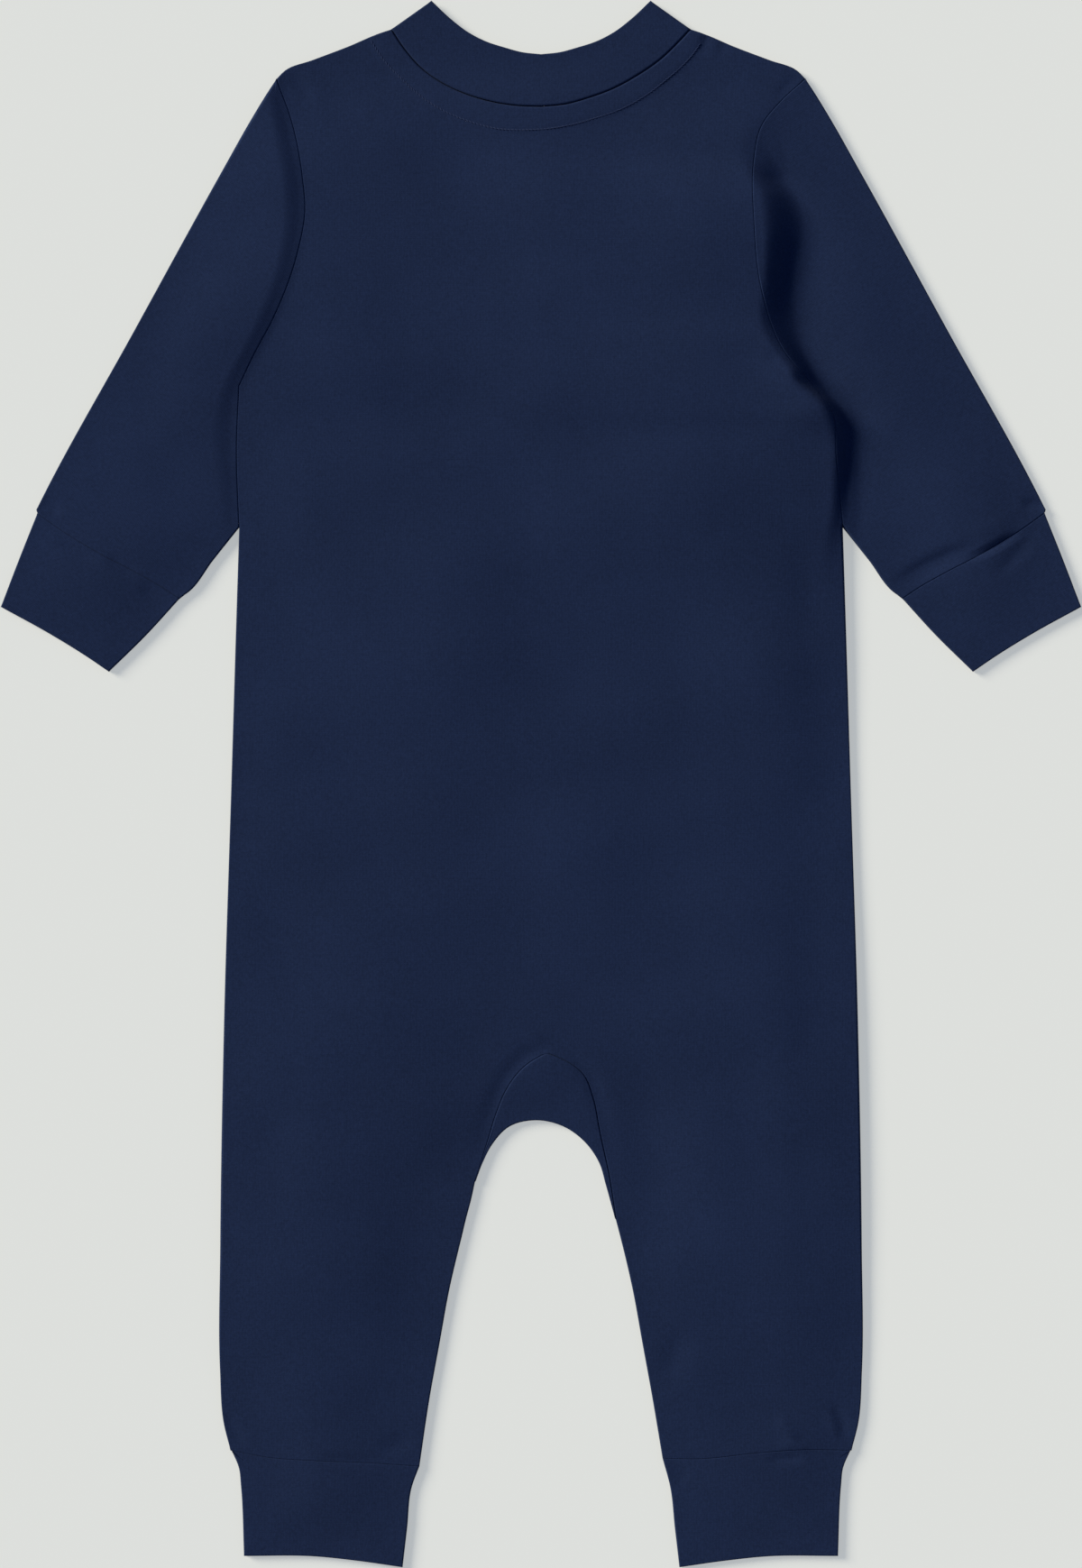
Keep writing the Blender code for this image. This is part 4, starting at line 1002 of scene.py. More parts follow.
def put_mesh(name, points, face_sets, surface, grain=None):
    """A mesh from points in millimetres and face arrays; its UV map is the plan turned to the grain."""
    mesh = bpy.data.meshes.new(name)
    mesh.vertices.add(len(points))
    mesh.vertices.foreach_set("co", (points * MM).astype(np.float32).ravel())
    corners = np.concatenate([faces.ravel() for faces in face_sets]).astype(np.int32)
    totals = np.concatenate([np.full(len(faces), faces.shape[1]) for faces in face_sets])
    mesh.loops.add(len(corners))
    mesh.loops.foreach_set("vertex_index", corners)
    mesh.polygons.add(len(totals))
    mesh.polygons.foreach_set("loop_start", (np.cumsum(totals) - totals).astype(np.int32))
    mesh.polygons.foreach_set("use_smooth", np.ones(len(totals), dtype=bool))
    mesh.update(calc_edges=True)
    if grain is not None:
        turn = np.radians(grain)
        across = points[:, 0] * np.cos(turn) + points[:, 1] * np.sin(turn)
        along = points[:, 1] * np.cos(turn) - points[:, 0] * np.sin(turn)
        places = np.stack([across, along], axis=1)[corners] * MM
        mesh.uv_layers.new(name="grain").data.foreach_set("uv", places.astype(np.float32).ravel())
    mesh.materials.append(surface)
    thing = bpy.data.objects.new(name, mesh)
    bpy.context.scene.collection.objects.link(thing)
    return thing


def cloth_piece(name, parts, surface, grain, node):
    """Put a cloth piece in place of its CAD node."""
    points, faces = welded_together(parts)
    thing = put_mesh(name, points, [faces], surface, grain)
    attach(thing, "garment")
    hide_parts(node)


def plan_area(flat):
    """Area of the piece's outline, in square metres."""
    return abs(signed_area(flat.seam)) * 0.5 * MM * MM


def upper_shell(flat, thickness, lip=0.0):
    """The upper layer of a piece, its skin on the upper level."""
    return layer(flat, lambda plan: upper_level(plan, thickness), thickness, 1, 0.5 * EDGE_HEIGHT, lip)


def lower_shell(flat, thickness):
    """The lower layer of a piece, its skin on the lower level."""
    return layer(flat, lambda plan: lower_level(plan, thickness), thickness, -1, 0.5 * EDGE_HEIGHT)


# ---------------------------------------------------------------- materials

class Nodes:
    """Short hand for building a node tree."""

    def __init__(self, name):
        self.material = bpy.data.materials.new(name)
        self.material.use_nodes = True
        self.tree = self.material.node_tree
        self.shader = self.tree.nodes["Principled BSDF"]

    def add(self, kind, inputs=(), **settings):
        """A node with its settings; an input is a number or the socket that feeds it."""
        node = self.tree.nodes.new(kind)
        for key, value in settings.items():
            setattr(node, key, value)
        self.feed(node, inputs)
        return node

    def feed(self, node, inputs):
        """Set a node's inputs: link those that are sockets, and write the others' values."""
        for key, value in dict(inputs).items():
            if isinstance(value, bpy.types.NodeSocket):
                self.tree.links.new(value, node.inputs[key])
            else:
                node.inputs[key].default_value = value

    def maths(self, operation, a, b=0.0):
        """One operation on two values."""
        return self.add("ShaderNodeMath", {0: a, 1: b}, operation=operation).outputs[0]

    def plus(self, a, b):
        """The first value and the second."""
        return self.maths("ADD", a, b)

    def times(self, a, b):
        """The first value times the second."""
        return self.maths("MULTIPLY", a, b)

    def sine(self, value, rate):
        """The sine of a value times a rate."""
        return self.maths("SINE", self.times(value, rate))

    def about_half(self, value, size):
        """A value's distance from a half, times a size."""
        return self.times(self.maths("SUBTRACT", value, 0.5), size)

    def place(self):
        """Where a point lies in its object."""
        return self.add("ShaderNodeTexCoord").outputs["Object"]

    def apart(self, vector):
        """The three numbers of a vector."""
        return self.add("ShaderNodeSeparateXYZ", {0: vector}).outputs

    def noise(self, vector, scale, detail=2.0, roughness=0.5):
        """Soft random spots, so many to the metre."""
        node = self.add("ShaderNodeTexNoise", {"Vector": vector, "Scale": scale, "Detail": detail,
                                               "Roughness": roughness})
        return node.outputs["Fac"]

    def finish(self, colour, shade, height, strength, depth, **values):
        """The colour times a shade, a bump of a height, and values for the shader's own sockets."""
        tint = self.add("ShaderNodeVectorMath", {0: colour, "Scale": shade}, operation="SCALE")
        bump = self.add("ShaderNodeBump", {"Strength": strength, "Distance": depth, "Height": height})
        self.feed(self.shader, {"Base Color": tint.outputs[0], "Normal": bump.outputs[0]})
        self.feed(self.shader, {key.replace("_", " "): value for key, value in values.items()})
        return self.material


Pattern = namedtuple("Pattern", "scale detail roughness shade")

# Knit: sizes of a stitch and of the bump in metres, and how strongly each pattern shades the cloth.
WALE = 0.00105
COURSE = 0.00085
STITCH_DEPTH = 0.00010
SWAY_SCALE = 260.0
SWAY = 0.8
LEAN = 0.5
TURN = 6.28318
LOOP_LEAST = 0.7
LOOP_BUMP = 0.55
FUZZ_BUMP = 0.55
MEAN_SHADE = 0.92
LEAST_SHADE = 0.3
LOOP_SHADE = 0.13
GRAIN = Pattern(900.0, 2.0, 0.65, 0.65)
NAP = Pattern(2600.0, 1.0, 0.7, 0.5)
PATCHES = Pattern(14.0, 2.0, 0.5, 0.26)
MOTTLING = Pattern(95.0, 2.0, 0.55, 0.12)
SPECK_SCALE = 38.0
SPECK_RARITY = 0.82
SPECK_RADIUS = 0.012
SPECK_SHADE = 0.6
SHEEN_TINT = (0.55, 0.65, 0.9, 1.0)

# Tape, thread and lacquer: sines in radians to the metre, scales of the noise, bump depths in metres.
RIB_RATE = 5200.0
WEAVE_RATE = 9000.0
WEAVE_DEPTH = 0.00008
TWIST_RATE = 16000.0
TWIST_DEPTH = 0.00004
PEEL_SCALE = 1800.0
PEEL_DEPTH = 0.00003
WEAR_SCALE = 300.0


def knit(name, colour):
    """Cotton interlock: wales of small V stitches that sway a little, a short nap, and rare specks.

    Across a wale the V's two legs lean to its middle; along it each course is one turn of a sine. The
    shade is a mean, plus each pattern's distance from a half times its strength.
    """
    n = Nodes(name)
    across, along, _ = n.apart(n.add("ShaderNodeUVMap", uv_map="grain").outputs["UV"])
    place = n.place()
    wales = n.plus(n.times(across, 1.0 / WALE), n.times(n.noise(place, SWAY_SCALE, 1.0), SWAY))
    side = n.times(n.maths("ABSOLUTE", n.maths("SUBTRACT", n.maths("FRACT", wales), 0.5)), 2.0)
    stitch = n.sine(n.plus(n.times(along, 1.0 / COURSE), n.times(side, LEAN)), TURN)
    loops = n.times(n.sine(side, 0.5 * TURN), n.plus(n.times(stitch, 1.0 - LOOP_LEAST), LOOP_LEAST))
    patterns = {pattern: n.noise(place, *pattern[:3]) for pattern in (GRAIN, NAP, PATCHES, MOTTLING)}
    height = n.plus(n.times(loops, LOOP_BUMP), n.times(n.plus(patterns[NAP], patterns[GRAIN]), FUZZ_BUMP))
    shade = n.plus(MEAN_SHADE, n.times(loops, LOOP_SHADE))
    for pattern, spots in patterns.items():
        shade = n.plus(shade, n.about_half(spots, pattern.shade))
    cells = n.add("ShaderNodeTexVoronoi", {"Vector": place, "Scale": SPECK_SCALE}).outputs
    chance = n.add("ShaderNodeSeparateColor", {0: cells["Color"]}).outputs[0]
    rare = n.maths("GREATER_THAN", chance, SPECK_RARITY)
    tiny = n.maths("LESS_THAN", cells["Distance"], SPECK_RADIUS)
    clear = n.maths("SUBTRACT", 1.0, n.times(n.times(rare, tiny), SPECK_SHADE))
    shade = n.times(n.maths("MAXIMUM", shade, LEAST_SHADE), clear)
    return n.finish(colour, shade, height, 0.55, STITCH_DEPTH, Roughness=0.95, Specular_IOR_Level=0.08,
                    Sheen_Weight=0.04, Sheen_Roughness=0.5, Sheen_Tint=SHEEN_TINT)


def woven_tape(name, colour):
    """Polyester tape: fine ribs along it, the size of a sine, and a weave that zigzags over them."""
    n = Nodes(name)
    across, along, _ = n.apart(n.place())
    ribs = n.maths("ABSOLUTE", n.sine(across, RIB_RATE))
    weave = n.maths("SINE", n.plus(n.times(along, WEAVE_RATE), n.times(ribs, 1.6)))
    return n.finish(colour, n.plus(0.9, n.times(weave, 0.14)), n.plus(ribs, n.times(weave, 0.4)), 0.5,
                    WEAVE_DEPTH, Roughness=0.7)


def thread(name, colour):
    """Twisted sewing thread: a sine along the slant of all three directions, and a slight sheen."""
    n = Nodes(name)
    x, y, z = n.apart(n.place())
    twist = n.sine(n.plus(n.plus(x, y), z), TWIST_RATE)
    return n.finish(colour, n.plus(0.95, n.times(twist, 0.12)), twist, 0.4, TWIST_DEPTH, Roughness=0.8,
                    Specular_IOR_Level=0.15, Sheen_Weight=0.05)


def lacquer(name, colour, roughness):
    """Lacquered metal or moulded plastic with slight orange peel and worn variation."""
    n = Nodes(name)
    place = n.place()
    peel, wear = n.noise(place, PEEL_SCALE), n.noise(place, WEAR_SCALE, 3.0, 0.6)
    return n.finish(colour, n.plus(0.9, n.times(wear, 0.2)), peel, 0.25, PEEL_DEPTH,
                    Roughness=n.plus(roughness - 0.06, n.times(wear, 0.14)))


NAVY = (0.0118, 0.0198, 0.0462)
jersey = knit("navy_jersey", NAVY)
cuff_jersey = knit("navy_cuff_jersey", NAVY)
tape_cloth = woven_tape("navy_tape", (0.0110, 0.0175, 0.0420))
navy_thread = thread("navy_thread", (0.0148, 0.0245, 0.060))
navy_metal = lacquer("navy_lacquer", (0.0137, 0.0203, 0.0437), 0.38)
navy_teeth = lacquer("navy_teeth", (0.0125, 0.0190, 0.0420), 0.45)


# ---------------------------------------------------------------- cloth pieces

COARSE = Split(1, 1)
SIDE_NAMES = (("left", -1), ("right", 1))
SLEEVE_SLANT = 29.0
CUFF_SLANT = 31.0
SLEEVE_CORNER_SLOPE = 0.5
ZIP_BEND_SHARE = 0.6
ZIP_BEND_REACH = (4.0, 12.0)

# Flat sizes in metres: the cut of what shows, all round on a tube.
WRIST_FLAT = (0.125, 0.046)
ANKLE_FLAT = (0.150, 0.046)

rows, columns = BACK_SPLIT
back_kinds = [(kind_rows(rows, (SIDE, CENTRE_ROWS), (arc_kind, ARC_ROWS), (SIDE, INSEAM_ROWS)),
               kind_rows(rows, (SEAM, ARM_ROWS), (SIDE, SIDE_ROWS)),
               kind_rows(columns, (DEEP_SEAM, NECK_COLUMNS), (SIDE, SHOULDER_COLUMNS)),
               kind_rows(columns, (SEAM, HALF_COLUMNS))) for arc_kind in (ARC_LIT, ARC_SHADED)]
back_net = net([(back_edges(side, COARSE), back_edges(side, BACK_SPLIT)) for side in (1, -1)],
               back_kinds, RIM, CENTRE_ROWS * rows, SETTLE_ROUNDS, ARMHOLE_BEND)
cloth_piece("back_cloth", [upper_shell(back_net, CLOTH)], jersey, 0.0, "back")

rows, columns = FRONT_SPLIT
front_kinds = (kind_rows(rows, (ZIP_HEM, CENTRE_ROWS - ZIP_CLOSE_SPANS), (SEAM, ZIP_CLOSE_SPANS + ARC_ROWS),
                         (SIDE, INSEAM_ROWS)),
               kind_rows(rows, (SEAM, ARM_ROWS), (SIDE, SIDE_ROWS)),
               kind_rows(columns, (DEEP_SEAM, FRONT_NECK_COLUMNS), (SIDE, FRONT_SHOULDER_COLUMNS)),
               kind_rows(columns, (SEAM, FRONT_NECK_COLUMNS + FRONT_SHOULDER_COLUMNS)))
for word, side in SIDE_NAMES:
    front = front_edges(side, FRONT_SPLIT)
    rim = RIM * (1.0 - ZIP_BEND_SHARE * near(loop_line(front), ZIP_BEND, *ZIP_BEND_REACH))
    front_net = net([(front_edges(side, COARSE), front)], [front_kinds], rim, rounds=SETTLE_ROUNDS,
                    bend=ARMHOLE_BEND)
    cloth_piece(f"front_{word}_cloth", [lower_shell(front_net, CLOTH)], jersey, 0.0, f"front_{word}")

rows, columns = SLEEVE_SPLIT
mouth_rows = ARM_ROWS - SLEEVE_COLUMNS
sleeve_kinds = (kind_rows(rows, (SEAM, mouth_rows), (FOLD, WRIST_ROWS)),
                kind_rows(rows, (FOLD, mouth_rows + WRIST_ROWS)),
                kind_rows(columns, (SEAM, SLEEVE_COLUMNS)),
                kind_rows(columns, (SEAM, SLEEVE_COLUMNS)))
for word, side in SIDE_NAMES:
    sleeve = sleeve_edges(side, SLEEVE_SPLIT)
    wrist_ends = [np.linalg.norm(loop_line(sleeve) - sleeve[3][end], axis=1) for end in (0, -1)]
    rim = np.clip(SLEEVE_CORNER_RIM + SLEEVE_CORNER_SLOPE * np.min(wrist_ends, axis=0), 0.0, RIM)
    sleeve_net = net([(sleeve_edges(side, COARSE), sleeve)], [sleeve_kinds], rim, rounds=SETTLE_ROUNDS)
    parts = [upper_shell(sleeve_net, CLOTH, SLEEVE_LIP), lower_shell(sleeve_net, CLOTH)]
    cloth_piece(f"sleeve_{word}_cloth", parts, jersey, side * SLEEVE_SLANT, f"sleeve_{word}")

for word, side in SIDE_NAMES:
    for where, edges_of, split, slant, flat_size in (
            ("wrist", wrist_cuff_edges, WRIST_SPLIT, side * CUFF_SLANT, WRIST_FLAT),
            ("ankle", ankle_cuff_edges, ANKLE_SPLIT, 0.0, ANKLE_FLAT)):
        cuff = edges_of(side, split)
        cuff_kinds = plain_kinds(cuff, FOLD, FOLD, SEAM, HEM)
        cuff_net = net([(edges_of(side, COARSE), cuff)], [cuff_kinds], CUFF_RIM)
        parts = [upper_shell(cuff_net, DOUBLE_CLOTH), lower_shell(cuff_net, DOUBLE_CLOTH)]
        cloth_piece(f"{where}_cuff_{word}_cloth", parts, cuff_jersey, slant, f"{where}_cuff_{word}")

back_collar = back_collar_edges(COLLAR_SPLIT)
collar_kinds = plain_kinds(back_collar, FOLD, FOLD, HEM, DEEP_SEAM)
collar_net = net([(back_collar, back_collar)], [collar_kinds], CUFF_RIM)
collar_parts = [upper_shell(collar_net, DOUBLE_CLOTH)]
collar_area = plan_area(collar_net)
for side in (-1, 1):
    edges = front_collar_edges(side, COLLAR_SPLIT)
    flat = net([(edges, edges)], [plain_kinds(edges, HEM, FOLD, HEM, DEEP_SEAM)], CUFF_RIM)
    collar_area += plan_area(flat)
    collar_parts.append(lower_shell(flat, DOUBLE_CLOTH))
cloth_piece("collar_cloth", collar_parts, cuff_jersey, 0.0, "collar")

gusset = gusset_edges(GUSSET_SPLIT)
end_rows, half_columns = len(gusset[0]) - 1, (len(gusset[2]) - 1) // 2
seam_rim, edge_rim = [np.minimum(RIM, GUSSET_RIM_SHARE * np.abs(distance_to(line, other)[0]))
                      for line, other in (gusset[2:], gusset[:1:-1])]
rim = np.concatenate([seam_rim[:-1], np.full(end_rows, seam_rim[-1]), edge_rim[:0:-1],
                      np.full(end_rows, edge_rim[0])])
gusset_kinds = plain_kinds(gusset, SEAM, SEAM, GUSSET_SEAM, FOLD)
gusset_kinds[2][half_columns:] = GUSSET_SHADED
gusset_net = net([(gusset, gusset)], [gusset_kinds], rim, rounds=GUSSET_ROUNDS)
parts = [upper_shell(gusset_net, CLOTH, SEAM_LIP), lower_shell(gusset_net, CLOTH)]
cloth_piece("gusset_cloth", parts, jersey, 0.0, "gusset")


# ---------------------------------------------------------------- stitching and zip

STITCH_RINGS = ((-0.48, 0.55), (-0.34, 1.0), (0.34, 1.0), (0.48, 0.55))
STITCH_SIDES = 6
STITCH_PITCH = 1.5
STITCH_LENGTH = 1.66
STITCH_RADIUS = 0.22
STITCH_SLANT = 16.0
TOP_ROW_LIFT = 0.02
UNDER_ROW_LIFT = 0.12
NECK_ROW = 9.5
ZIP_ROW = 6.4
ZIP_ROW_TOP = 250.0
ROW_SPANS = 80
TAPE_SPLIT = Split(190, 6)

# Moulded tooth from its root to its head: distance out, half length, half thickness.
TOOTH = ((2.3, 0.26, 0.32), (1.9, 0.42, 0.52), (0.6, 0.40, 0.55), (-0.3, 0.48, 0.55), (-0.75, 0.34, 0.42))
STOP = ((1.9, 0.8, 0.4), (1.6, 1.2, 0.55), (-1.6, 1.2, 0.55), (-1.9, 0.8, 0.4))
ROUND_SQUARE = ((1.0, -0.6), (1.0, 0.6), (0.6, 1.0), (-0.6, 1.0), (-1.0, 0.6), (-1.0, -0.6), (-0.6, -1.0),
                (0.6, -1.0))
TEETH_LIFT = 0.3
TEETH_OVER_STOP = 1.8
STOP_PLACE = -91.4

# Slider: its plates by half width and distance from their top, the post by half width and both ends,
# the bridge by distance out and height. Pull tab and its eye: half width and distance from the tab's
# axis. The shares are the parts of the eye's and the tab's half outline that lie opposite each other.
ROUND_TURNS = (0.0, 45.0, 90.0)
CORNER_CUT = 0.14
AXIS = (0.0, 277.6, 1.3)
SLIDER_TOP = 281.8
PLATE = ((2.0, 0.0), (3.7, -1.6), (3.7, -4.6), (3.0, -8.6), (2.0, -9.6))
LOWER_PLATE = (2.0, 2.5)
LOWER_ROUND = 0.16
UPPER_PLATE = (3.67, 4.02)
UPPER_ROUND = 0.14
POST = (0.9, 278.8, 281.2)
POST_ROUND = 0.05
POST_OVERLAP = 0.2
BRIDGE = ((3.3, 2.3), (3.3, 1.1), (2.5, 0.32), (-2.5, 0.32), (-3.3, 1.1), (-3.3, 2.3))
BRIDGE_HALF = (0.8, 0.3)
BRIDGE_CUT = 0.25
TAB = ((0.0, 0.4), (2.1, 0.4), (2.4, 0.1), (2.4, -5.8), (1.9, -9.0), (2.3, -20.6), (1.6, -22.6),
       (0.0, -22.6))
EYE = ((0.0, -0.4), (1.2, -0.4), (1.2, -4.6), (0.0, -4.6))
TAB_HALF = 0.4
TAB_ROUND = 0.28
EYE_ROUND = 0.22
TAB_TIP_ROOM = 0.03
TAB_POINTS = 33
EYE_SHARES = (0.0, 0.18, 0.82, 1.0)
TAB_SHARES = (0.0, 0.085, 0.30, 1.0)
RIB_PLACES = (-13.4, -14.8, -16.2, -17.6, -19.0)
RIB_LENGTH = 3.0
RIB_RADIUS = 0.2


def beads(rings, poles):
    """Closed bodies from rings of points carried along a line, with a pole at each end. The faces point
    outwards: their order is turned when the first body's volume comes out below zero."""
    bodies, levels, around = rings.shape[:3]
    points = np.concatenate([rings.reshape(bodies, levels * around, 3), poles], axis=1)
    grid = np.arange(levels * around).reshape(levels, around)
    after = np.roll(grid, -1, axis=1)
    sides = np.stack([grid[:-1], grid[1:], after[1:], after[:-1]], axis=-1).reshape(-1, 4)
    caps = np.concatenate([np.stack([grid[0] * 0 + levels * around, grid[0], after[0]], axis=-1),
                           np.stack([grid[0] * 0 + levels * around + 1, after[-1], grid[-1]], axis=-1)])
    triangles = np.concatenate([sides[:, :3], sides[:, (0, 2, 3)], caps])
    a, b, c = (points[0] - points[0].mean(0))[triangles].transpose(1, 0, 2)
    if (np.cross(a, b) * c).sum() < 0.0:
        sides, caps = sides[:, ::-1], caps[:, ::-1]
    starts = (np.arange(bodies) * (levels * around + 2))[:, None, None]
    return points.reshape(-1, 3), [(sides + starts).reshape(-1, 4), (caps + starts).reshape(-1, 3)]


def together(shapes):
    """Points and faces of several shapes put into one set."""
    starts = np.cumsum([0] + [len(points) for points, _ in shapes[:-1]])
    faces = [face + start for (_, sets), start in zip(shapes, starts) for face in sets]
    return np.concatenate([points for points, _ in shapes]), faces


def capsules(middle, ahead, length, radius):
    """Round-ended short bars: a ring carried along each, its girth from STITCH_RINGS, with two poles."""
    side = unit(np.cross(ahead, (0.0, 0.0, 1.0)))
    up = np.cross(side, ahead)
    place, girth = np.array(STITCH_RINGS).T
    turn = np.arange(STITCH_SIDES) * 2.0 * np.pi / STITCH_SIDES
    ring = np.cos(turn)[:, None] * side[:, None] + np.sin(turn)[:, None] * up[:, None]
    rings = (middle[:, None, None] + length * place[:, None, None] * ahead[:, None, None]
             + radius * girth[:, None, None] * ring[:, None])
    return beads(rings, middle[:, None] + 0.5 * length * np.array([[-1.0], [1.0]]) * ahead[:, None])


def stitch_row(plan, level):
    """A row of stitches along a plan line at a level: one slanting capsule to each pitch."""
    count = int(np.linalg.norm(np.diff(plan, axis=0), axis=1).sum() / STITCH_PITCH)
    place = at(plan, (np.arange(count) + 0.5) / count)
    middle = np.column_stack([place, level(place)])
    ahead = unit(np.gradient(middle, axis=0))
    across = np.stack([ahead[:, 1], -ahead[:, 0], 0.0 * ahead[:, 0]], axis=1)
    slant = np.radians(STITCH_SLANT)
    return capsules(middle, np.cos(slant) * ahead + np.sin(slant) * across, STITCH_LENGTH, STITCH_RADIUS)


def studs(middle, stations, side):
    """Moulded studs: a rounded square carried across from the root to the head, with two poles."""
    out, half_length, half_thick = np.array(stations).T
    square = np.array(ROUND_SQUARE)
    ring = np.stack([np.broadcast_to(side * out[:, None], (len(out), len(square))),
                     half_length[:, None] * square[:, 0], half_thick[:, None] * square[:, 1]], axis=-1)
    ends = np.array([[side * out[0], 0.0, 0.0], [side * out[-1], 0.0, 0.0]])
    return beads(middle[:, None, None] + ring, middle[:, None] + ends)


def closed_outline(rows, top=0.0):
    """A closed outline from the rows of one side and their mirror images, with softened corners."""
    right = np.array([(half, along + top) for half, along in rows])
    line = np.concatenate([right, right[::-1] * (-1.0, 1.0)])
    line = without_repeats(line)
    after = np.roll(line, -1, axis=0)
    cuts = [(1.0 - cut) * line + cut * after for cut in (CORNER_CUT, 1.0 - CORNER_CUT)]
    return np.stack(cuts, axis=1).reshape(-1, 2)


def quarter_round(radius):
    """Inset and fall at each step of a rounded rim: radius x (1 - sin) and radius x (1 - cos)."""
    turn = np.radians(ROUND_TURNS)
    return radius * (1.0 - np.sin(turn)), radius * (1.0 - np.cos(turn))


def slab(plan, low, high, round_off):
    """A flat plate on an outline, its rims rounded by a quarter round, closed by a point in the middle."""
    inset, fall = quarter_round(round_off)
    inset = np.concatenate([inset, inset[::-1]])
    level = np.concatenate([low + fall, high - fall[::-1]])
    flat_rings = plan + inset[:, None, None] * inward(plan)
    levels = np.broadcast_to(level[:, None, None], (len(level), len(plan), 1))
    rings = np.concatenate([flat_rings, levels], axis=-1)
    middle = plan.mean(0)
    return beads(rings[None], np.array([[[*middle, low], [*middle, high]]]))


def bridge_bar():
    """The slider's bridge: a rounded square carried along an arch of softened corners."""
    knots = np.array(BRIDGE)
    reach = BRIDGE_CUT * np.diff(knots, axis=0)
    stretches = [np.linspace(a + cut, b - cut, 3) for a, b, cut in zip(knots[:-1], knots[1:], reach)]
    path = np.concatenate([knots[:1], joined(*stretches), knots[-1:]])
    ahead = unit(np.gradient(path, axis=0))
    normal = np.stack([-ahead[:, 1], ahead[:, 0]], axis=1)
    square = np.array(ROUND_SQUARE) * BRIDGE_HALF
    ring = np.concatenate([np.broadcast_to(square[:, :1], (len(path), len(square), 1)),
                           path[:, None] + square[:, 1:] * normal[:, None]], axis=-1)
    ring += np.array([AXIS[0], AXIS[1], 0.0])
    return beads(ring[None], ring[None, (0, -1)].mean(2))


def pull_tab():
    """The tab: a rounded strip between its outline and its eye, closed on itself, with grip ribs across."""
    half_turn = np.linspace(0.0, 1.0, TAB_POINTS)
    tab = at(np.array(TAB), np.interp(half_turn, EYE_SHARES, TAB_SHARES))
    rings = []
    for half, radius, sign in ((tab, TAB_ROUND, 1.0), (at(np.array(EYE), half_turn), EYE_ROUND, -1.0)):
        line = np.concatenate([half, (half * (-1.0, 1.0))[-2:0:-1]])
        step = sign * inward(line)
        inset, fall = quarter_round(radius)
        levels = np.concatenate([fall - TAB_HALF, TAB_HALF - fall[::-1]])
        stack = [np.column_stack([line + k * step, np.full(len(line), level)])
                 for k, level in zip(np.concatenate([inset, inset[::-1]]), levels)]
        rings += stack if sign > 0.0 else stack[::-1]
    rings = np.array(rings)
    grid = np.arange(len(rings) * rings.shape[1]).reshape(rings.shape[:2])
    around, onward = np.roll(grid, -1, axis=1), np.roll(grid, -1, axis=0)
    faces = np.stack([grid, around, np.roll(around, -1, axis=0), onward], axis=-1).reshape(-1, 4)
    points = rings.reshape(-1, 3)
    a, b, c = points[faces[:, 0]], points[faces[:, 1]], points[faces[:, 2]]
    a2, b2, c2 = points[faces[:, 0]], points[faces[:, 2]], points[faces[:, 3]]
    if (np.cross(a, b) * c).sum() + (np.cross(a2, b2) * c2).sum() < 0.0:
        faces = faces[:, ::-1]
    rib = np.array([(0.0, along, level) for along in RIB_PLACES for level in (-TAB_HALF, TAB_HALF)])
    ribs = capsules(rib, np.broadcast_to((1.0, 0.0, 0.0), rib.shape), RIB_LENGTH, RIB_RADIUS)
    points, faces = together([(points, [faces]), ribs])
    tilt = np.arcsin((AXIS[2] - TAB_HALF - TAB_TIP_ROOM) / -TAB[-1][1])
    x, y, z = points.T
    turned = np.stack([x, y * np.cos(tilt) - z * np.sin(tilt), y * np.sin(tilt) + z * np.cos(tilt)], axis=1)
    return turned + np.array(AXIS), faces


def fitting(name, shape, surface, body="garment", replaced=()):
    """Put a small piece on its body, in place of its CAD nodes where it has any."""
    thing = put_mesh(name, *shape, surface)
    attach(thing, body)
    if replaced:
        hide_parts(*replaced)


def on_top(plan):
    """Level of a row of stitching that shows on the back."""
    return upper_level(plan, CLOTH) + TOP_ROW_LIFT


def underneath(plan):
    """Level of a row of stitching that shows on the fronts."""
    return lower_level(plan, CLOTH) + UNDER_ROW_LIFT


fitting("neck_stitching", stitch_row(evenly(NECK_STITCHING, ROW_SPANS), on_top), navy_thread)
for word, side in SIDE_NAMES:
    row = beside(evenly(FRONT_NECK, ROW_SPANS), NECK_ROW)[:-2]
    row = row[row[:, 0] > ZIP_ROW]
    zip_row = np.array([(ZIP_ROW, ZIP_ROW_TOP), (ZIP_ROW, ZIP_CLOSE)])
    rows = [stitch_row(mirrored(line, side), underneath) for line in (row, zip_row)]
    fitting(f"front_{word}_stitching", together(rows), navy_thread)

for word, side in SIDE_NAMES:
    inner = spaced([(TAPE_TOP_GAP, TAPE_TOP), (TAPE_TOP_GAP, TAPE_CLOSES[0]),
                    (TAPE_HALF_GAP, TAPE_CLOSES[1]), (TAPE_HALF_GAP, ZIP_END)], TAPE_SPLIT.rows)
    far = spaced([(TAPE_REACH, TAPE_TOP), (TAPE_REACH, ZIP_END)], TAPE_SPLIT.rows)
    ends = [spaced([inner[k], far[k]], TAPE_SPLIT.columns) for k in (0, -1)]
    edges = [mirrored(line, side) for line in (inner, far, *ends)]
    tape_net = net([(edges, edges)], [plain_kinds(edges, *[TAPE_EDGE] * 4)], TAPE_RIM)
    tape = layer(tape_net, lambda plan: zip_level(plan[..., 1]) + TAPE_THICK, TAPE_THICK, 1, 0.0)
    cloth_piece(f"tape_{word}", [tape], tape_cloth, 0.0, f"zip_tape_{word}")

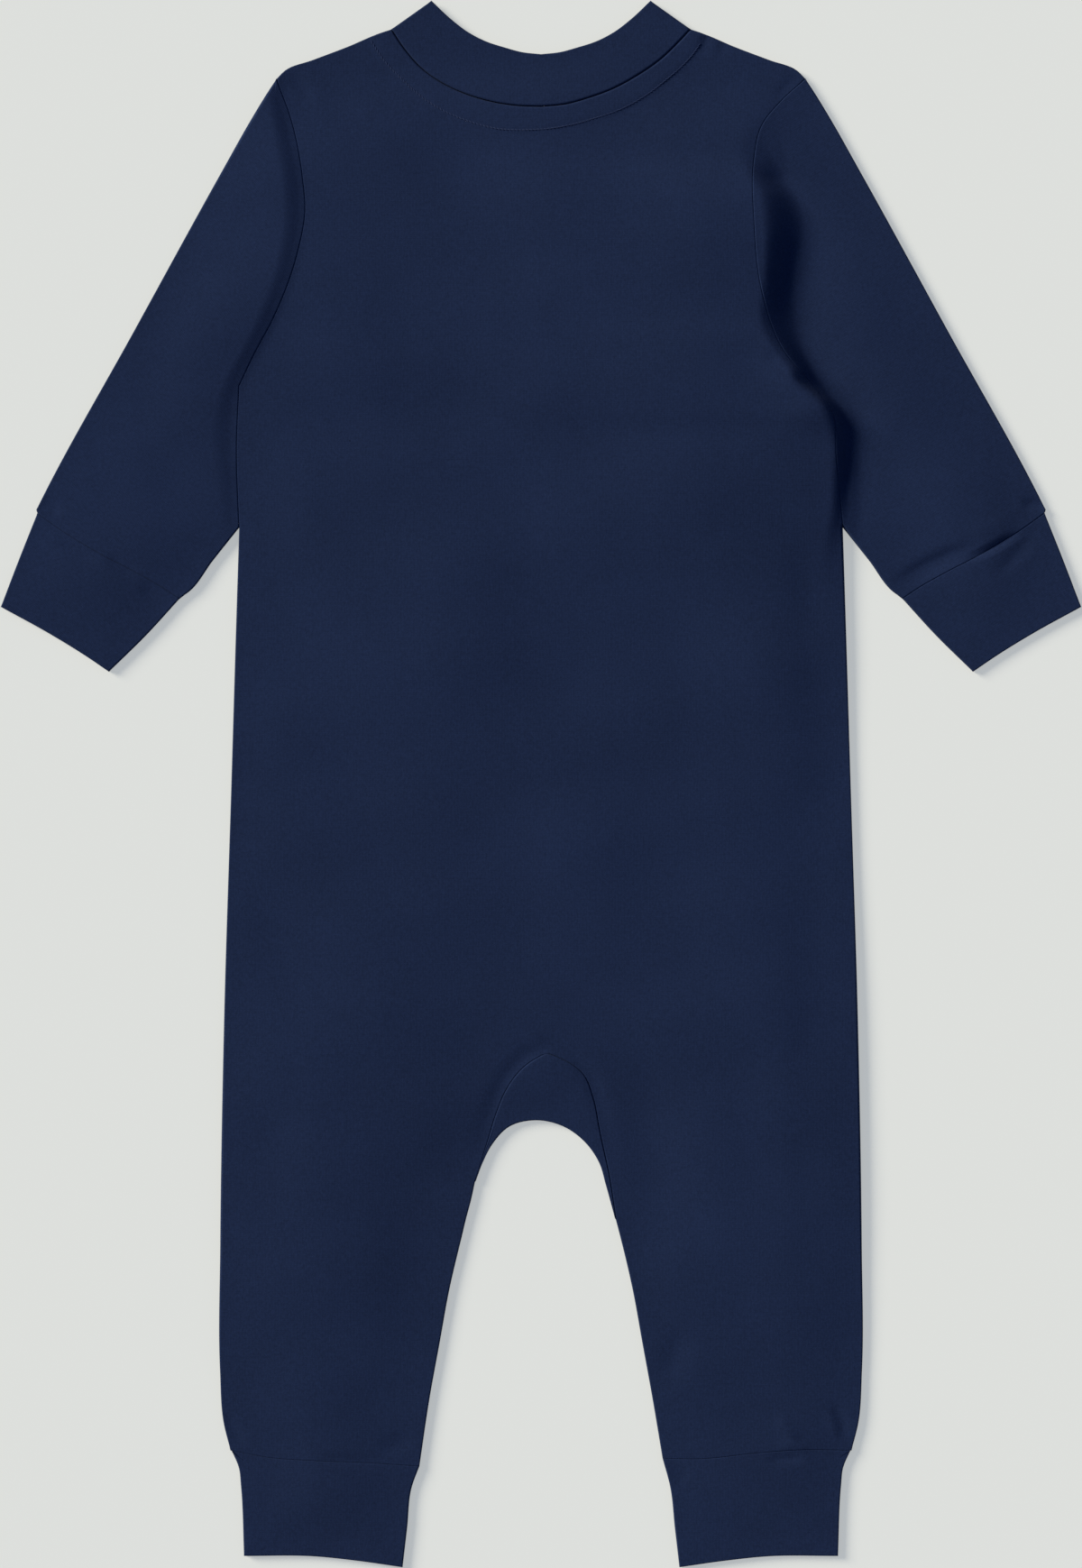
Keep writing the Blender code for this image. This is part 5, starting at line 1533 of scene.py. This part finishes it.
teeth = []
for side, shift in ((-1, 0.0), (1, 0.5 * TOOTH_PITCH)):
    up = np.arange(TEETH_TOP - shift, STOP_PLACE + TEETH_OVER_STOP, -TOOTH_PITCH)
    middle = np.column_stack([0.0 * up, up, zip_level(up) + TEETH_LIFT])
    teeth.append(studs(middle, TOOTH, side))
teeth.append(studs(np.array([[0.0, STOP_PLACE, TAPE_LOW + TEETH_LIFT]]), STOP, 1))
fitting("zip_teeth", together(teeth), navy_teeth)

plate = closed_outline(PLATE, SLIDER_TOP)
half, low, high = POST
post = closed_outline(((half, high), (half, low)))
slider = together([slab(plate, *LOWER_PLATE, LOWER_ROUND), slab(plate, *UPPER_PLATE, UPPER_ROUND),
                   slab(post, LOWER_PLATE[1] - POST_OVERLAP, UPPER_PLATE[0] + POST_OVERLAP, POST_ROUND),
                   bridge_bar()])
fitting("slider_body", slider, navy_metal, "garment", ["zip_slider"])
fitting("pull_tab", pull_tab(), navy_metal, "pull", ["zip_pull"])


# ---------------------------------------------------------------- camera, floor and light

def look_from(name, kind, where, aim, **settings):
    """A camera or light at a place, turned to look at a point."""
    data = bpy.data.cameras.new(name) if kind == "CAMERA" else bpy.data.lights.new(name, kind)
    for key, value in settings.items():
        setattr(data, key, value)
    thing = bpy.data.objects.new(name, data)
    bpy.context.scene.collection.objects.link(thing)
    thing.location = where
    thing.rotation_euler = (Vector(aim) - Vector(where)).to_track_quat("-Z", "Y").to_euler()
    return thing


# Lengths in metres, lens and sensor in millimetres.
FRAME_HEIGHT = 0.6521
LENS = 120.0
SENSOR = 36.0
CAMERA_LIFT = 0.003
FLOOR_HALF = 6
FLOOR_DROP = 0.0003
KEY_FAR = 2.0
KEY_TURN, KEY_RISE = np.radians(28.0), np.radians(26.0)
KEY_FROM = (-KEY_FAR * np.cos(KEY_RISE) * np.cos(KEY_TURN), KEY_FAR * np.cos(KEY_RISE) * np.sin(KEY_TURN),
            KEY_FAR * np.sin(KEY_RISE))
KEY_STRENGTH = 5.1
KEY_SPREAD = 0.42
FILL_STRENGTH = 0.27
FILL_COLOUR = (0.32, 0.58, 1.25, 1.0)
PAPER_COLOUR = (0.362, 0.340, 0.273, 1.0)
PAPER_GLOW = (0.735, 0.75, 0.727, 1.0)
PAPER_GLOW_STRENGTH = 0.59

camera_height = FRAME_HEIGHT * LENS / SENSOR + CAMERA_LIFT
camera = look_from("camera", "CAMERA", (0.0, 0.0, camera_height), (0.0, 0.0, 0.0), lens=LENS,
                   sensor_width=SENSOR, clip_start=0.05, clip_end=50.0)
camera.rotation_euler = (0.0, 0.0, 0.0)
bpy.context.scene.camera = camera

paper = Nodes("pale_paper")
paper.feed(paper.shader, {"Base Color": PAPER_COLOUR, "Emission Color": PAPER_GLOW,
                          "Emission Strength": PAPER_GLOW_STRENGTH, "Roughness": 0.9,
                          "Specular IOR Level": 0.1})
floor_mesh = bpy.data.meshes.new("floor")
floor_corners = [(x * FLOOR_HALF, y * FLOOR_HALF, 0) for x, y in ((-1, -1), (1, -1), (1, 1), (-1, 1))]
floor_mesh.from_pydata(floor_corners, [], [(0, 1, 2, 3)])
floor_mesh.materials.append(paper.material)
floor = bpy.data.objects.new("floor", floor_mesh)
floor.location.z = -FLOOR_DROP
bpy.context.scene.collection.objects.link(floor)

look_from("key_light", "SUN", KEY_FROM, (0.0, 0.0, 0.0), energy=KEY_STRENGTH, angle=KEY_SPREAD)
world = bpy.data.worlds.new("studio")
world.use_nodes = True
sky = world.node_tree.nodes["Background"]
sky.inputs["Color"].default_value = FILL_COLOUR
sky.inputs["Strength"].default_value = FILL_STRENGTH
bpy.context.scene.world = world
bpy.context.scene.view_settings.view_transform = "Standard"
